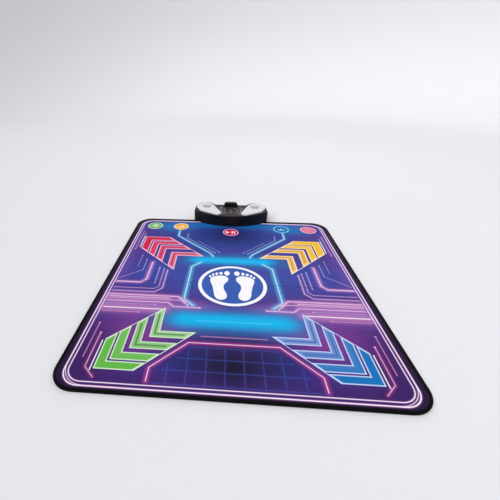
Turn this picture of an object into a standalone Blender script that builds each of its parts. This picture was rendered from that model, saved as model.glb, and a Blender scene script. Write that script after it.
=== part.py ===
"""Electronic dance mat: a layered folding mat with step zones and touch keys, and a speaker console."""

import math

import bmesh
import bpy
from mathutils import Matrix, Vector

for old_object in list(bpy.data.objects):
    bpy.data.objects.remove(old_object, do_unlink=True)

# Clearance between pieces that touch or slide
GAP = 0.0003

# Mat plan
MAT_WIDTH = 0.900
MAT_LENGTH = 1.000
MAT_CORNER = 0.066
CREASE_FROM_FRONT = 0.455
BINDING_LIP = 0.010
BINDING_WEB = 0.0012

# Mat layers, from the floor up
BASE_SHEET = 0.0012
FOAM_SHEET = 0.0030
CONTACT_FILM = 0.0005
SPACER_SHEET = 0.0015
COVER_SHEET = 0.0008
FOLD_AXIS_RISE = 0.0010

# Step zones: a square arm swept inwards along the diagonal, up to a clear band before the crease
ARROW_MARGIN = 0.012
FRONT_ARROW_ARM = 0.100
FRONT_ARROW_FROM_SIDE = 0.0965
FRONT_ARROW_FROM_FRONT = 0.065
FRONT_ARROW_TO_CREASE = 0.145
FRONT_ARROW_TO_MIDDLE = 0.1085
REAR_ARROW_ARM = 0.104
REAR_ARROW_FROM_SIDE = 0.074
REAR_ARROW_FROM_BACK = 0.201
REAR_ARROW_TO_CREASE = 0.080
REAR_ARROW_TO_MIDDLE = 0.112
ZONE_CORNER = 0.010

# Touch keys
TOUCH_KEY_RADIUS = 0.038
CORNER_KEY_FROM_SIDE = 0.092
MIDDLE_KEY_FROM_SIDE = 0.216
SIDE_KEYS_FROM_BACK = 0.084
PLAY_KEY_FROM_BACK = 0.132

# Console shell
CONSOLE_WIDTH = 0.356
CONSOLE_DEPTH = 0.180
CONSOLE_HEIGHT = 0.053
CONSOLE_ON_MAT = 0.070
CONSOLE_WALL = 0.0034
CONSOLE_EDGE = 0.004
FRONT_RADIUS = 0.275
FRONT_CORNER = 0.020
EAR_RADIUS = 0.050
EAR_FROM_SIDE = 0.055
REAR_DIP = 0.030
TRAY_WALL = 0.002
FOOT_HEIGHT = 0.0022
FOOT_WIDTH = 0.240
FOOT_DEPTH = 0.012

# Speaker pods and speakers
POD_BACK_ROUND = 0.0437
POD_BACK_FROM_SIDE = 0.0525
POD_BACK_FROM_BACK = 0.0665
POD_FRONT_ROUND = 0.0465
POD_FRONT_FROM_SIDE = 0.066
POD_FRONT_SETBACK = 0.0905
POD_TIP_ROUND = 0.0185
POD_TIP_SIDE = 0.0655
POD_TIP_SETBACK = 0.031
POD_HEIGHT = 0.0075
POD_WALL = 0.0018
POD_EDGE = 0.005
POD_SLOTS = 7
POD_SLOT_WIDTH = 0.0022
POD_SLOT_INNER = 0.028
POD_SLOT_OUTER = 0.068
POD_FAN_SETBACK = 0.054
POD_FAN_ANGLE = 7.0
SPEAKER_FROM_SIDE = 0.060
SPEAKER_FROM_BACK = 0.068
SPEAKER_RADIUS = 0.0335
SPEAKER_FLANGE = 0.0015
SPEAKER_DEPTH = 0.0235
SPEAKER_WELL = 0.0137
MAGNET_RADIUS = 0.018
MAGNET_HEIGHT = 0.0085
BASKET_WALL = 0.002
CONE_RADIUS = 0.0272
CONE_SHEET = 0.0008
CONE_DEPTH = 0.0087
CONE_CAP_RADIUS = 0.008
CONE_TRAVEL = 0.0008

# Control panel, keys and board
PANEL_SHEET = 0.0015
PANEL_FRONT_HALF = 0.041
PANEL_BACK_HALF = 0.061
PANEL_SETBACK = 0.017
PANEL_LENGTH = 0.102
PANEL_CORNER = 0.005
PANEL_LEDGE = 0.003
KEY_COLUMNS = 3
KEY_ROWS = 2
KEY_PITCH_ACROSS = 0.030
KEY_PITCH_ALONG = 0.032
KEYS_SETBACK = 0.043
KEY_WIDTH = 0.016
KEY_LENGTH = 0.009
KEY_CORNER = 0.003
KEY_RISE = 0.0010
KEY_FLANGE = 0.0015
KEY_FLANGE_SHEET = 0.0010
KEY_STEM_RADIUS = 0.002
KEY_TRAVEL = 0.0008
BOARD_WIDTH = 0.092
BOARD_LENGTH = 0.086
BOARD_SETBACK = 0.027
BOARD_SHEET = 0.0016
BOARD_DROP = 0.011
SWITCH_BLOCK = 0.006
SWITCH_HEIGHT = 0.0017
BOARD_POST_RADIUS = 0.003
BOARD_POST_INSET = 0.005

# Flat tail from the films to the board
TAIL_WIDTH = 0.030
TAIL_SHEET = 0.0005
TAIL_BEND = 0.003
TAIL_RISE_FROM_BACK = 0.036
TAIL_IN_MAT = 0.025
CONNECTOR_HEIGHT = 0.004
CONNECTOR_DEPTH = 0.006
CONNECTOR_LIP = 0.0012

# Clamp bar and screws
BAR_WIDTH = 0.250
BAR_DEPTH = 0.022
BAR_FROM_BACK = 0.014
FRONT_SCREW_SIDE = 0.110
REAR_SCREW_SIDE = 0.076
REAR_SCREW_SETBACK = 0.016
SCREW_RADIUS = 0.0014
SCREW_HEAD_RADIUS = 0.0032
SCREW_HEAD_HEIGHT = 0.0018
SCREW_BITE = 0.012
POST_RADIUS = 0.004
BOSS_RADIUS = 0.0055

# Score display on the console
HOOD_BASE = 0.074
HOOD_TOP = 0.058
HOOD_HEIGHT = 0.0200
HOOD_DEPTH = 0.018
HOOD_SETBACK = 0.010
HOOD_CORNER = 0.013
HOOD_WALL = 0.002
CABLE_HOLE_WIDTH = 0.012
CABLE_HOLE_DEPTH = 0.010
WINDOW_SHEET = 0.0015
WINDOW_SINK = 0.0008
DISPLAY_WIDTH = 0.038
DISPLAY_HEIGHT = 0.013
DISPLAY_DEPTH = 0.006

# Battery bay in the rear wall
CELL_RADIUS = 0.00725
CELL_LENGTH = 0.0505
CELL_NUB_RADIUS = 0.00275
CELL_NUB = 0.001
CONTACT_SHEET = 0.0005
CONTACT_BUTTON = 0.0020
CONTACT_BUTTON_RADIUS = 0.003
BOX_WALL = 0.0015
BAY_LIFT = 0.002
DOOR_SHEET = 0.0024
DOOR_LAP = 0.004
DOOR_PIN_RADIUS = 0.0005
DOOR_PIN_LENGTH = 0.0015

# Power switch and audio socket in the rear wall
SWITCH_FROM_EAR = 0.061
SWITCH_LEVEL = 0.026
SWITCH_TRAVEL = 0.004
KNOB_WIDTH = 0.004
KNOB_HEIGHT = 0.0035
KNOB_PROUD = 0.0020
KNOB_FOOT = 0.0025
KNOB_FOOT_LIP = 0.0010
SWITCH_CASE = 0.0012
SOCKET_FROM_EAR = 0.061
SOCKET_BORE = 0.0018
SOCKET_BARREL = 0.0040
SOCKET_CASE = 0.0060
SOCKET_DEPTH = 0.013

MILLIMETRE = 0.001
WELD_DISTANCE = 0.000005

# Smoothness of round shapes
CORNER_STEPS = 8
BOW_STEPS = 20
EAR_STEPS = 14
EDGE_STEPS = 4
ROUND_STEPS = 32
SMALL_STEPS = 12

# Mat places worked out from the sizes above
REAR_EDGE = MAT_LENGTH / 2
FRONT_EDGE = -MAT_LENGTH / 2
CREASE = FRONT_EDGE + CREASE_FROM_FRONT
FRONT_ARROW_SIDE = MAT_WIDTH / 2 - FRONT_ARROW_FROM_SIDE
FRONT_ARROW_RUN = (FRONT_ARROW_SIDE - FRONT_ARROW_ARM - FRONT_ARROW_TO_MIDDLE,
                   CREASE_FROM_FRONT - FRONT_ARROW_FROM_FRONT - FRONT_ARROW_ARM - FRONT_ARROW_TO_CREASE)
REAR_ARROW_SIDE = MAT_WIDTH / 2 - REAR_ARROW_FROM_SIDE
REAR_ARROW_RUN = (REAR_ARROW_SIDE - REAR_ARROW_ARM - REAR_ARROW_TO_MIDDLE,
                  REAR_EDGE - CREASE - REAR_ARROW_FROM_BACK - REAR_ARROW_ARM - REAR_ARROW_TO_CREASE)
CORNER_KEY_SIDE = MAT_WIDTH / 2 - CORNER_KEY_FROM_SIDE
MIDDLE_KEY_SIDE = MAT_WIDTH / 2 - MIDDLE_KEY_FROM_SIDE
FOAM_LOW = BASE_SHEET + GAP
FOAM_HIGH = FOAM_LOW + FOAM_SHEET
LOWER_FILM_LOW = FOAM_HIGH + GAP
LOWER_FILM_HIGH = LOWER_FILM_LOW + CONTACT_FILM
SPACER_LOW = LOWER_FILM_HIGH + GAP
SPACER_HIGH = SPACER_LOW + SPACER_SHEET
UPPER_FILM_LOW = SPACER_HIGH + GAP
UPPER_FILM_HIGH = UPPER_FILM_LOW + CONTACT_FILM
COVER_LOW = UPPER_FILM_HIGH + GAP
MAT_TOP = COVER_LOW + COVER_SHEET
FOLD_AXIS_Z = MAT_TOP + FOLD_AXIS_RISE
LAYER_INSET = BINDING_WEB + GAP
COVER_INSET = BINDING_LIP + GAP

# Console places worked out from the sizes above
CONSOLE_FRONT = REAR_EDGE - CONSOLE_ON_MAT
CONSOLE_BACK = CONSOLE_FRONT + CONSOLE_DEPTH
CONSOLE_HALF = CONSOLE_WIDTH / 2
CONSOLE_LOW = MAT_TOP + GAP
CONSOLE_HIGH = MAT_TOP + CONSOLE_HEIGHT
CEILING = CONSOLE_HIGH - CONSOLE_WALL
REAR_WALL = CONSOLE_BACK - REAR_DIP
REAR_WALL_INSIDE = REAR_WALL - CONSOLE_WALL
EAR_SIDE = CONSOLE_HALF - EAR_FROM_SIDE
SWITCH_SIDE = EAR_SIDE - SWITCH_FROM_EAR
SOCKET_SIDE = EAR_SIDE - SOCKET_FROM_EAR
EAR_Y = CONSOLE_BACK - EAR_RADIUS
SPEAKER_SIDE = CONSOLE_HALF - SPEAKER_FROM_SIDE
SPEAKER_Y = CONSOLE_BACK - SPEAKER_FROM_BACK
ARC_Y = CONSOLE_FRONT + FRONT_RADIUS
TRAY_LOW = FOOT_HEIGHT + GAP
TRAY_FLOOR = TRAY_LOW + TRAY_WALL
PLATE_HIGH = CONSOLE_LOW + TRAY_WALL
TRAY_FRONT = REAR_EDGE + 2 * GAP
POST_LOW = PLATE_HIGH + GAP


def paint(name, colour, roughness, metallic=0.0):
    """One plain finish for one piece."""
    finish = bpy.data.materials.new(name)
    finish.use_nodes = True
    shader = finish.node_tree.nodes["Principled BSDF"]
    shader.inputs["Base Color"].default_value = (*colour, 1.0)
    shader.inputs["Roughness"].default_value = roughness
    shader.inputs["Metallic"].default_value = metallic
    return finish


RUBBER = (0.03, 0.03, 0.035)
FOAM = (0.55, 0.56, 0.58)
CLEAR_FILM = (0.75, 0.76, 0.74)
BLACK = (0.012, 0.011, 0.012)
PURPLE = (0.10, 0.04, 0.24)
WHITE = (0.80, 0.79, 0.82)
STEEL = (0.55, 0.55, 0.56)
BRASS = (0.60, 0.45, 0.20)
BOARD_GREEN = (0.03, 0.16, 0.06)
DARK_GREY = (0.045, 0.038, 0.034)
PAPER = (0.03, 0.03, 0.03)


def add_piece(name, shape, colour, roughness=0.5, metallic=0.0, origin=(0.0, 0.0, 0.0), parent=None):
    """A named piece from a shape in world places, with its own origin and finish."""
    bmesh.ops.translate(shape, verts=shape.verts, vec=-Vector(origin))
    mesh = bpy.data.meshes.new(name)
    shape.to_mesh(mesh)
    shape.free()
    piece = bpy.data.objects.new(name, mesh)
    bpy.context.scene.collection.objects.link(piece)
    mesh.materials.append(paint(name, colour, roughness, metallic))
    mesh.shade_smooth()
    mesh.set_sharp_from_angle(angle=math.radians(35))
    piece.location = Vector(origin)
    if parent is not None:
        piece.parent = parent
        piece.location = Vector(origin) - parent.location
    return piece


def change(piece, name, shape, operation):
    """Cut a shape out of a piece, or join one to it."""
    tool = add_piece(name, shape, WHITE)
    tool.hide_render = True
    tool.display_type = "WIRE"
    step = piece.modifiers.new(name, "BOOLEAN")
    step.operation = operation
    step.object = tool


def cut(piece, name, shape):
    change(piece, name, shape, "DIFFERENCE")


def join(piece, name, shape):
    change(piece, name, shape, "UNION")


def weld(piece):
    """Merge the corners that cuts through one place leave side by side."""
    step = piece.modifiers.new("weld", "WELD")
    step.merge_threshold = WELD_DISTANCE


def gather(shapes):
    """Several separate shapes in one, for a tool that cuts or adds them all."""
    whole = bmesh.new()
    for shape in shapes:
        mesh = bpy.data.meshes.new("gathered")
        shape.to_mesh(mesh)
        shape.free()
        whole.from_mesh(mesh)
        bpy.data.meshes.remove(mesh)
    return whole


def arc(centre, radius, start, end, steps):
    """Points along an arc, with angles in degrees and both ends included."""
    points = []
    for step in range(steps + 1):
        angle = math.radians(start + (end - start) * step / steps)
        points.append((centre[0] + radius * math.cos(angle), centre[1] + radius * math.sin(angle)))
    return points


def circle(centre, radius, steps=ROUND_STEPS):
    return arc(centre, radius, 0, 360 - 360 / steps, steps - 1)


def rectangle(left, right, low, high):
    return [(left, low), (right, low), (right, high), (left, high)]


def rounded(corners, radius, steps=EDGE_STEPS):
    """The outline through some corners, each rounded to one radius."""
    outline = []
    for index, corner in enumerate(corners):
        here = Vector(corner)
        before = (Vector(corners[index - 1]) - here).normalized()
        after = (Vector(corners[(index + 1) % len(corners)]) - here).normalized()
        half_angle = before.angle(after) / 2
        reach = radius / math.tan(half_angle)
        centre = here + (before + after).normalized() * radius / math.sin(half_angle)
        first = here + before * reach - centre
        last = here + after * reach - centre
        for step in range(steps + 1):
            spoke = first.lerp(last, step / steps).normalized() * radius
            outline.append(tuple(centre + spoke))
    return outline


def keep_behind(outline, front):
    """The part of an outline that lies behind a line across the mat."""
    kept = []
    for index, point in enumerate(outline):
        before = outline[index - 1]
        if (before[1] < front) != (point[1] < front):
            share = (front - before[1]) / (point[1] - before[1])
            kept.append((before[0] + share * (point[0] - before[0]), front))
        if point[1] >= front:
            kept.append(point)
    return kept


def prism(outline, low, high, holes=()):
    """A flat plate between two levels, with holes through it, filled in millimetres and scaled back."""
    shape = bmesh.new()
    edges = []
    for loop in (outline, *holes):
        ring = [shape.verts.new((x / MILLIMETRE, y / MILLIMETRE, 0)) for x, y in loop]
        for index, vertex in enumerate(ring):
            edges.append(shape.edges.new((ring[index - 1], vertex)))
    filled = bmesh.ops.triangle_fill(shape, use_beauty=True, edges=edges)
    place = Matrix.Translation((0, 0, low)) @ Matrix.Scale(MILLIMETRE, 4)
    bmesh.ops.transform(shape, verts=shape.verts, matrix=place)
    faces = [item for item in filled["geom"] if isinstance(item, bmesh.types.BMFace)]
    raised = bmesh.ops.extrude_face_region(shape, geom=faces)
    lifted = [item for item in raised["geom"] if isinstance(item, bmesh.types.BMVert)]
    bmesh.ops.translate(shape, verts=lifted, vec=(0, 0, high - low))
    bmesh.ops.recalc_face_normals(shape, faces=shape.faces)
    return shape


def block(left, right, front, back, low, high):
    return prism(rectangle(left, right, front, back), low, high)


def loft(rings):
    """A skin over rings of equal counts, capped at both ends."""
    shape = bmesh.new()
    rows = [[shape.verts.new(point) for point in ring] for ring in rings]
    for lower, upper in zip(rows, rows[1:]):
        for index in range(len(lower)):
            shape.faces.new((lower[index - 1], lower[index], upper[index], upper[index - 1]))
    shape.faces.new(rows[0])
    shape.faces.new(rows[-1])
    bmesh.ops.recalc_face_normals(shape, faces=shape.faces)
    return shape


def ring_at(outline, level):
    return [(x, y, level) for x, y in outline]


def turned(profile, centre, steps=ROUND_STEPS):
    """A solid of revolution about an upright axis, from a profile that starts and ends on it."""
    shape = bmesh.new()
    rows = []
    for radius, level in profile:
        if radius == 0:
            rows.append([shape.verts.new((centre[0], centre[1], level))])
        else:
            rows.append([shape.verts.new((x, y, level)) for x, y in circle(centre, radius, steps)])
    for lower, upper in zip(rows, rows[1:]):
        for index in range(steps):
            corners = [lower[index - 1], lower[index]] if len(lower) > 1 else [lower[0]]
            corners += [upper[index], upper[index - 1]] if len(upper) > 1 else [upper[0]]
            shape.faces.new(corners)
    bmesh.ops.recalc_face_normals(shape, faces=shape.faces)
    return shape


def rod(centre, radius, low, high, steps=SMALL_STEPS):
    return turned([(0, low), (radius, low), (radius, high), (0, high)], centre, steps)


def screw_bore(place, low, seat, high):
    """A cutter for a screw: a recess for its head up to the seat, and a hole for its shank above."""
    recess = SCREW_HEAD_RADIUS + GAP
    profile = [(0, low), (recess, low), (recess, seat), (SCREW_HOLE, seat), (SCREW_HOLE, high), (0, high)]
    return turned(profile, place, SMALL_STEPS)


def stand_up(shape):
    """Turn a shape drawn in x and height into place: its height rises, its thickness runs to the back."""
    bmesh.ops.transform(shape, verts=shape.verts, matrix=Matrix.Rotation(math.radians(90), 4, "X"))
    bmesh.ops.scale(shape, verts=shape.verts, vec=(1, -1, 1))
    bmesh.ops.reverse_faces(shape, faces=shape.faces)
    return shape


def lay_across(shape, y, z):
    """Turn an upright shape about the origin so that its axis runs along x, through y and z."""
    turn = Matrix.Translation((0, y, z)) @ Matrix.Rotation(math.radians(90), 4, "Y")
    bmesh.ops.transform(shape, verts=shape.verts, matrix=turn)
    return shape


# Outlines


def half_mat(rear, inset, crease_gap=GAP / 2):
    """One half of the mat's outline, drawn in from the edge by an inset."""
    side = MAT_WIDTH / 2 - inset
    radius = MAT_CORNER - inset
    corner_x = MAT_WIDTH / 2 - MAT_CORNER
    if rear:
        corner_y = REAR_EDGE - MAT_CORNER
        start = CREASE + crease_gap
        right = arc((corner_x, corner_y), radius, 0, 90, CORNER_STEPS)
        left = arc((-corner_x, corner_y), radius, 90, 180, CORNER_STEPS)
        return [(side, start), *right, *left, (-side, start)]
    corner_y = FRONT_EDGE + MAT_CORNER
    start = CREASE - crease_gap
    left = arc((-corner_x, corner_y), radius, 180, 270, CORNER_STEPS)
    right = arc((corner_x, corner_y), radius, 270, 360, CORNER_STEPS)
    return [(-side, start), *left, *right, (side, start)]


def widened(corners, margin):
    """A counter-clockwise outline with each of its sides moved outwards by a margin."""
    normals = []
    for (x0, y0), (x1, y1) in zip(corners, corners[1:] + corners[:1]):
        length = math.hypot(x1 - x0, y1 - y0)
        normals.append(((y1 - y0) / length, (x0 - x1) / length))
    result = []
    for number, (x, y) in enumerate(corners):
        (before_x, before_y), (after_x, after_y) = normals[number - 1], normals[number]
        reach = margin / (1 + before_x * after_x + before_y * after_y)
        result.append((x + (before_x + after_x) * reach, y + (before_y + after_y) * reach))
    return result


def zone_outline(side, rear, margin):
    """The outline of a step zone: its arrows' outline with a margin round it."""
    arm = REAR_ARROW_ARM if rear else FRONT_ARROW_ARM
    run_x, run_y = REAR_ARROW_RUN if rear else FRONT_ARROW_RUN
    reach_x = REAR_ARROW_SIDE if rear else FRONT_ARROW_SIDE
    reach_y = REAR_EDGE - REAR_ARROW_FROM_BACK if rear else FRONT_EDGE + FRONT_ARROW_FROM_FRONT
    inwards = -1 if rear else 1
    steps = [(0, 0), (arm, 0), (arm + run_x, run_y), (run_x, arm + run_y), (0, arm)]
    corners = [(side * (reach_x - x), reach_y + inwards * y) for x, y in steps]
    if side * inwards > 0:
        corners.reverse()
    return rounded(widened(corners, margin), ZONE_CORNER)


def console_outline(inset):
    """The console's plan: a bowed front, round front corners, straight sides and round ears at the back."""
    corner_x = CONSOLE_HALF - FRONT_CORNER
    corner_y = ARC_Y - math.sqrt((FRONT_RADIUS - FRONT_CORNER) ** 2 - corner_x ** 2)
    bow = math.degrees(math.atan2(corner_y - ARC_Y, corner_x))
    side = Vector((EAR_SIDE - corner_x, EAR_Y - corner_y))
    turn = math.atan2(side.y, side.x) - math.acos((FRONT_CORNER - EAR_RADIUS) / side.length)
    lean = math.degrees(turn)
    ear = math.degrees(math.asin((REAR_WALL - inset - EAR_Y) / (EAR_RADIUS - inset)))
    outline = arc((0, ARC_Y), FRONT_RADIUS - inset, -180 - bow, bow, BOW_STEPS)[1:-1]
    outline += arc((corner_x, corner_y), FRONT_CORNER - inset, bow, lean, EDGE_STEPS)
    outline += arc((EAR_SIDE, EAR_Y), EAR_RADIUS - inset, lean, 180 - ear, EAR_STEPS)
    outline += arc((-EAR_SIDE, EAR_Y), EAR_RADIUS - inset, ear, 180 - lean, EAR_STEPS)
    outline += arc((-corner_x, corner_y), FRONT_CORNER - inset, 180 - lean, 180 - bow, EDGE_STEPS)
    return outline


def pod_outline(side, inset):
    """The leaf plan of a speaker pod: three arcs, at the tip, the outer side and the back, joined by tangents."""
    circles = [
        (Vector((POD_TIP_SIDE, CONSOLE_FRONT + POD_TIP_SETBACK)), POD_TIP_ROUND, CORNER_STEPS),
        (Vector((CONSOLE_HALF - POD_FRONT_FROM_SIDE, CONSOLE_FRONT + POD_FRONT_SETBACK)), POD_FRONT_ROUND,
         CORNER_STEPS),
        (Vector((CONSOLE_HALF - POD_BACK_FROM_SIDE, CONSOLE_BACK - POD_BACK_FROM_BACK)), POD_BACK_ROUND,
         EAR_STEPS),
    ]
    leaving = []
    for index, (centre, radius, _) in enumerate(circles):
        following, following_radius, _ = circles[(index + 1) % len(circles)]
        along = following - centre
        heading = math.degrees(math.atan2(along.y, along.x))
        leaving.append(heading - math.degrees(math.acos((radius - following_radius) / along.length)))
    outline = []
    for index, (centre, radius, steps) in enumerate(circles):
        turn = (leaving[index] - leaving[index - 1]) % 360
        outline += arc(centre, radius - inset, leaving[index] - turn, leaving[index], steps)
    return [(side * x, y) for x, y in outline]


def panel_outline(inset):
    """The control panel: narrow at the front and wider at the back."""
    front = CONSOLE_FRONT + PANEL_SETBACK + inset
    back = CONSOLE_FRONT + PANEL_SETBACK + PANEL_LENGTH - inset
    narrow = PANEL_FRONT_HALF - inset
    wide = PANEL_BACK_HALF - inset
    corners = [(-narrow, front), (narrow, front), (wide, back), (-wide, back)]
    return rounded(corners, PANEL_CORNER - inset / 2)


def hood_outline(inset):
    """The display hood seen from the front, in x and height."""
    low = CONSOLE_HIGH + GAP + inset
    high = CONSOLE_HIGH + GAP + HOOD_HEIGHT - inset
    base = HOOD_BASE / 2 - inset
    top = HOOD_TOP / 2 - inset
    corners = [(-base, low), (base, low), (top, high), (-top, high)]
    shoulders = rounded(corners, HOOD_CORNER - inset, CORNER_STEPS)
    return [(-base, low), (base, low), *shoulders[len(shoulders) // 2:]]


def lay_back(shape, x, z):
    """Turn an upright shape about the origin so that its axis runs to the back, through x and z."""
    turn = Matrix.Translation((x, 0, z)) @ Matrix.Rotation(math.radians(-90), 4, "X")
    bmesh.ops.transform(shape, verts=shape.verts, matrix=turn)
    return shape


def side_view(shape):
    """Turn a shape drawn in y and height into place, with its thickness across the mat."""
    bmesh.ops.transform(
        shape, verts=shape.verts, matrix=Matrix(((0, 0, 1, 0), (1, 0, 0, 0), (0, 1, 0, 0), (0, 0, 0, 1)))
    )
    return shape


# Places shared by the mat and the console

BAR_MIDDLE = REAR_EDGE - BAR_FROM_BACK - BAR_DEPTH / 2
TAIL_Y = REAR_EDGE - TAIL_RISE_FROM_BACK
TAIL_HALF = TAIL_WIDTH / 2
SCREW_HOLE = SCREW_RADIUS + GAP
FRONT_SCREWS = [(side * FRONT_SCREW_SIDE, BAR_MIDDLE) for side in (-1, 1)]
REAR_SCREWS = [(side * REAR_SCREW_SIDE, REAR_WALL - REAR_SCREW_SETBACK) for side in (-1, 1)]
TOUCH_KEYS = {
    "green": (-CORNER_KEY_SIDE, REAR_EDGE - SIDE_KEYS_FROM_BACK),
    "orange": (-MIDDLE_KEY_SIDE, REAR_EDGE - SIDE_KEYS_FROM_BACK),
    "play": (0.0, REAR_EDGE - PLAY_KEY_FROM_BACK),
    "blue": (MIDDLE_KEY_SIDE, REAR_EDGE - SIDE_KEYS_FROM_BACK),
    "red": (CORNER_KEY_SIDE, REAR_EDGE - SIDE_KEYS_FROM_BACK),
}
TOUCH_KEY_COLOURS = {
    "green": (0.12, 0.47, 0.06),
    "orange": (0.83, 0.48, 0.03),
    "play": (0.62, 0.01, 0.08),
    "blue": (0.02, 0.10, 0.42),
    "red": (0.70, 0.02, 0.08),
}
ZONES = {
    "red": (-1, True, (0.62, 0.01, 0.08)),
    "yellow": (1, True, (0.83, 0.50, 0.03)),
    "green": (-1, False, (0.12, 0.47, 0.06)),
    "blue": (1, False, (0.01, 0.16, 0.46)),
}


# The mat


def tail_slot(reach):
    """The slot that the tail lies in or passes through, reaching a given way forwards."""
    return rectangle(-TAIL_HALF - GAP, TAIL_HALF + GAP, TAIL_Y - reach - GAP, TAIL_Y + TAIL_SHEET + GAP)


def window_outlines(rear):
    """The windows over the step zones and touch keys of one half."""
    windows = [zone_outline(side, rear, ARROW_MARGIN + GAP) for side, at_rear, _ in ZONES.values()
               if at_rear == rear]
    if rear:
        windows += [circle(place, TOUCH_KEY_RADIUS + GAP) for place in TOUCH_KEYS.values()]
    return windows


def add_binding(rear, parent, origin):
    """Folded tape round three edges: a web outside the layers, a lip above and a lip below."""
    section = [
        (0, 0), (BINDING_LIP, 0), (BINDING_LIP, BASE_SHEET), (BINDING_WEB, BASE_SHEET),
        (BINDING_WEB, COVER_LOW), (BINDING_LIP, COVER_LOW), (BINDING_LIP, MAT_TOP), (0, MAT_TOP),
    ]
    stations = len(half_mat(rear, 0))
    paths = [ring_at(half_mat(rear, inset), level) for inset, level in section]
    rings = [[path[station] for path in paths] for station in range(stations)]
    name = "edge_binding_rear" if rear else "edge_binding_front"
    return add_piece(name, loft(rings), BLACK, 0.8, origin=origin, parent=parent)


def add_mat_half(rear, parent):
    """The layers of one half of the mat, from the floor up."""
    end = "rear" if rear else "front"
    origin = parent.location.copy() if parent else (0, 0, 0)
    windows = window_outlines(rear)
    screw_holes = [circle(place, SCREW_HOLE, SMALL_STEPS) for place in FRONT_SCREWS] if rear else []
    bar_half = BAR_WIDTH / 2 + GAP
    bar_hole = rectangle(
        -bar_half, bar_half, BAR_MIDDLE - BAR_DEPTH / 2 - GAP, BAR_MIDDLE + BAR_DEPTH / 2 + GAP
    )
    bar_holes = [bar_hole] if rear else []
    notch = [tail_slot(TAIL_IN_MAT)] if rear else []
    slot = [tail_slot(TAIL_BEND)] if rear else []
    layers = [
        ("anti_slip_base", COVER_INSET, 0.0, BASE_SHEET, bar_holes, RUBBER, 0.9),
        ("foam_base", LAYER_INSET, FOAM_LOW, FOAM_HIGH, bar_holes, FOAM, 0.95),
        ("lower_contact_film", LAYER_INSET, LOWER_FILM_LOW, LOWER_FILM_HIGH, screw_holes, CLEAR_FILM, 0.3),
        ("spacer", LAYER_INSET, SPACER_LOW, SPACER_HIGH, windows + screw_holes + notch, WHITE, 0.9),
        ("upper_contact_film", LAYER_INSET, UPPER_FILM_LOW, UPPER_FILM_HIGH, windows + screw_holes + slot,
         CLEAR_FILM, 0.3),
        ("play_cover", COVER_INSET, COVER_LOW, MAT_TOP, windows + screw_holes + slot, PURPLE, 0.5),
    ]
    for name, inset, low, high, holes, colour, roughness in layers:
        sheet = prism(half_mat(rear, inset), low, high, holes)
        add_piece(f"{name}_{end}", sheet, colour, roughness, origin=origin, parent=parent)
    add_binding(rear, parent, origin)


def add_step_zones(fold):
    """The four sprung patches that close the windows, each as thick as the cover and upper film."""
    for colour_name, (side, rear, colour) in ZONES.items():
        outline = zone_outline(side, rear, ARROW_MARGIN)
        middle_x = sum(x for x, _ in outline) / len(outline)
        middle_y = sum(y for _, y in outline) / len(outline)
        add_piece(
            f"step_zone_{colour_name}", prism(outline, UPPER_FILM_LOW, MAT_TOP), colour,
            origin=(middle_x, middle_y, MAT_TOP), parent=None if rear else fold,
        )


def add_touch_keys():
    for name, place in TOUCH_KEYS.items():
        disc = rod(place, TOUCH_KEY_RADIUS, UPPER_FILM_LOW, MAT_TOP, ROUND_STEPS)
        add_piece(f"touch_key_{name}", disc, TOUCH_KEY_COLOURS[name], origin=(*place, MAT_TOP))


def add_clamp():
    """The bar let into the underside, and the screws that pull the console down onto the mat."""
    half = BAR_WIDTH / 2
    reach = BAR_DEPTH / 2
    blank = block(-half, half, BAR_MIDDLE - reach, BAR_MIDDLE + reach, GAP, FOAM_HIGH)
    bar = add_piece("clamp_bar", blank, BLACK)
    head_seat = 3 * GAP + SCREW_HEAD_HEIGHT
    bores = [screw_bore(place, 0, head_seat, FOAM_HIGH + GAP) for place in FRONT_SCREWS]
    cut(bar, "clamp_bar_bores", gather(bores))
    for side, place in zip(("left", "right"), FRONT_SCREWS):
        add_screw(f"case_screw_front_{side}", place, 2 * GAP, POST_LOW + SCREW_BITE)
    for side, place in zip(("left", "right"), REAR_SCREWS):
        add_screw(f"case_screw_rear_{side}", place, REAR_SCREW_HEAD, POST_LOW + SCREW_BITE)


def add_screw(name, place, head_low, tip):
    neck = head_low + SCREW_HEAD_HEIGHT
    profile = [
        (0, head_low), (SCREW_HEAD_RADIUS, head_low), (SCREW_HEAD_RADIUS, neck - SCREW_HEAD_HEIGHT / 2),
        (SCREW_RADIUS, neck), (SCREW_RADIUS, tip - SCREW_RADIUS), (0, tip),
    ]
    add_piece(name, turned(profile, place, SMALL_STEPS), STEEL, 0.3, 1.0)


def add_tail():
    """The flat tail: it lies in the spacer's notch, bends up and ends under the board's connector."""
    bend = (TAIL_Y - TAIL_BEND, SPACER_LOW + TAIL_SHEET + TAIL_BEND)
    start = TAIL_Y - TAIL_IN_MAT
    outline = [(start, SPACER_LOW), *arc(bend, TAIL_BEND + TAIL_SHEET, -90, 0, CORNER_STEPS)]
    outline += [(TAIL_Y + TAIL_SHEET, TAIL_TOP), (TAIL_Y, TAIL_TOP)]
    outline += [*arc(bend, TAIL_BEND, 0, -90, CORNER_STEPS), (start, SPACER_LOW + TAIL_SHEET)]
    add_piece("membrane_tail", side_view(prism(outline, -TAIL_HALF, TAIL_HALF)), CLEAR_FILM, 0.3)


# The console

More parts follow.
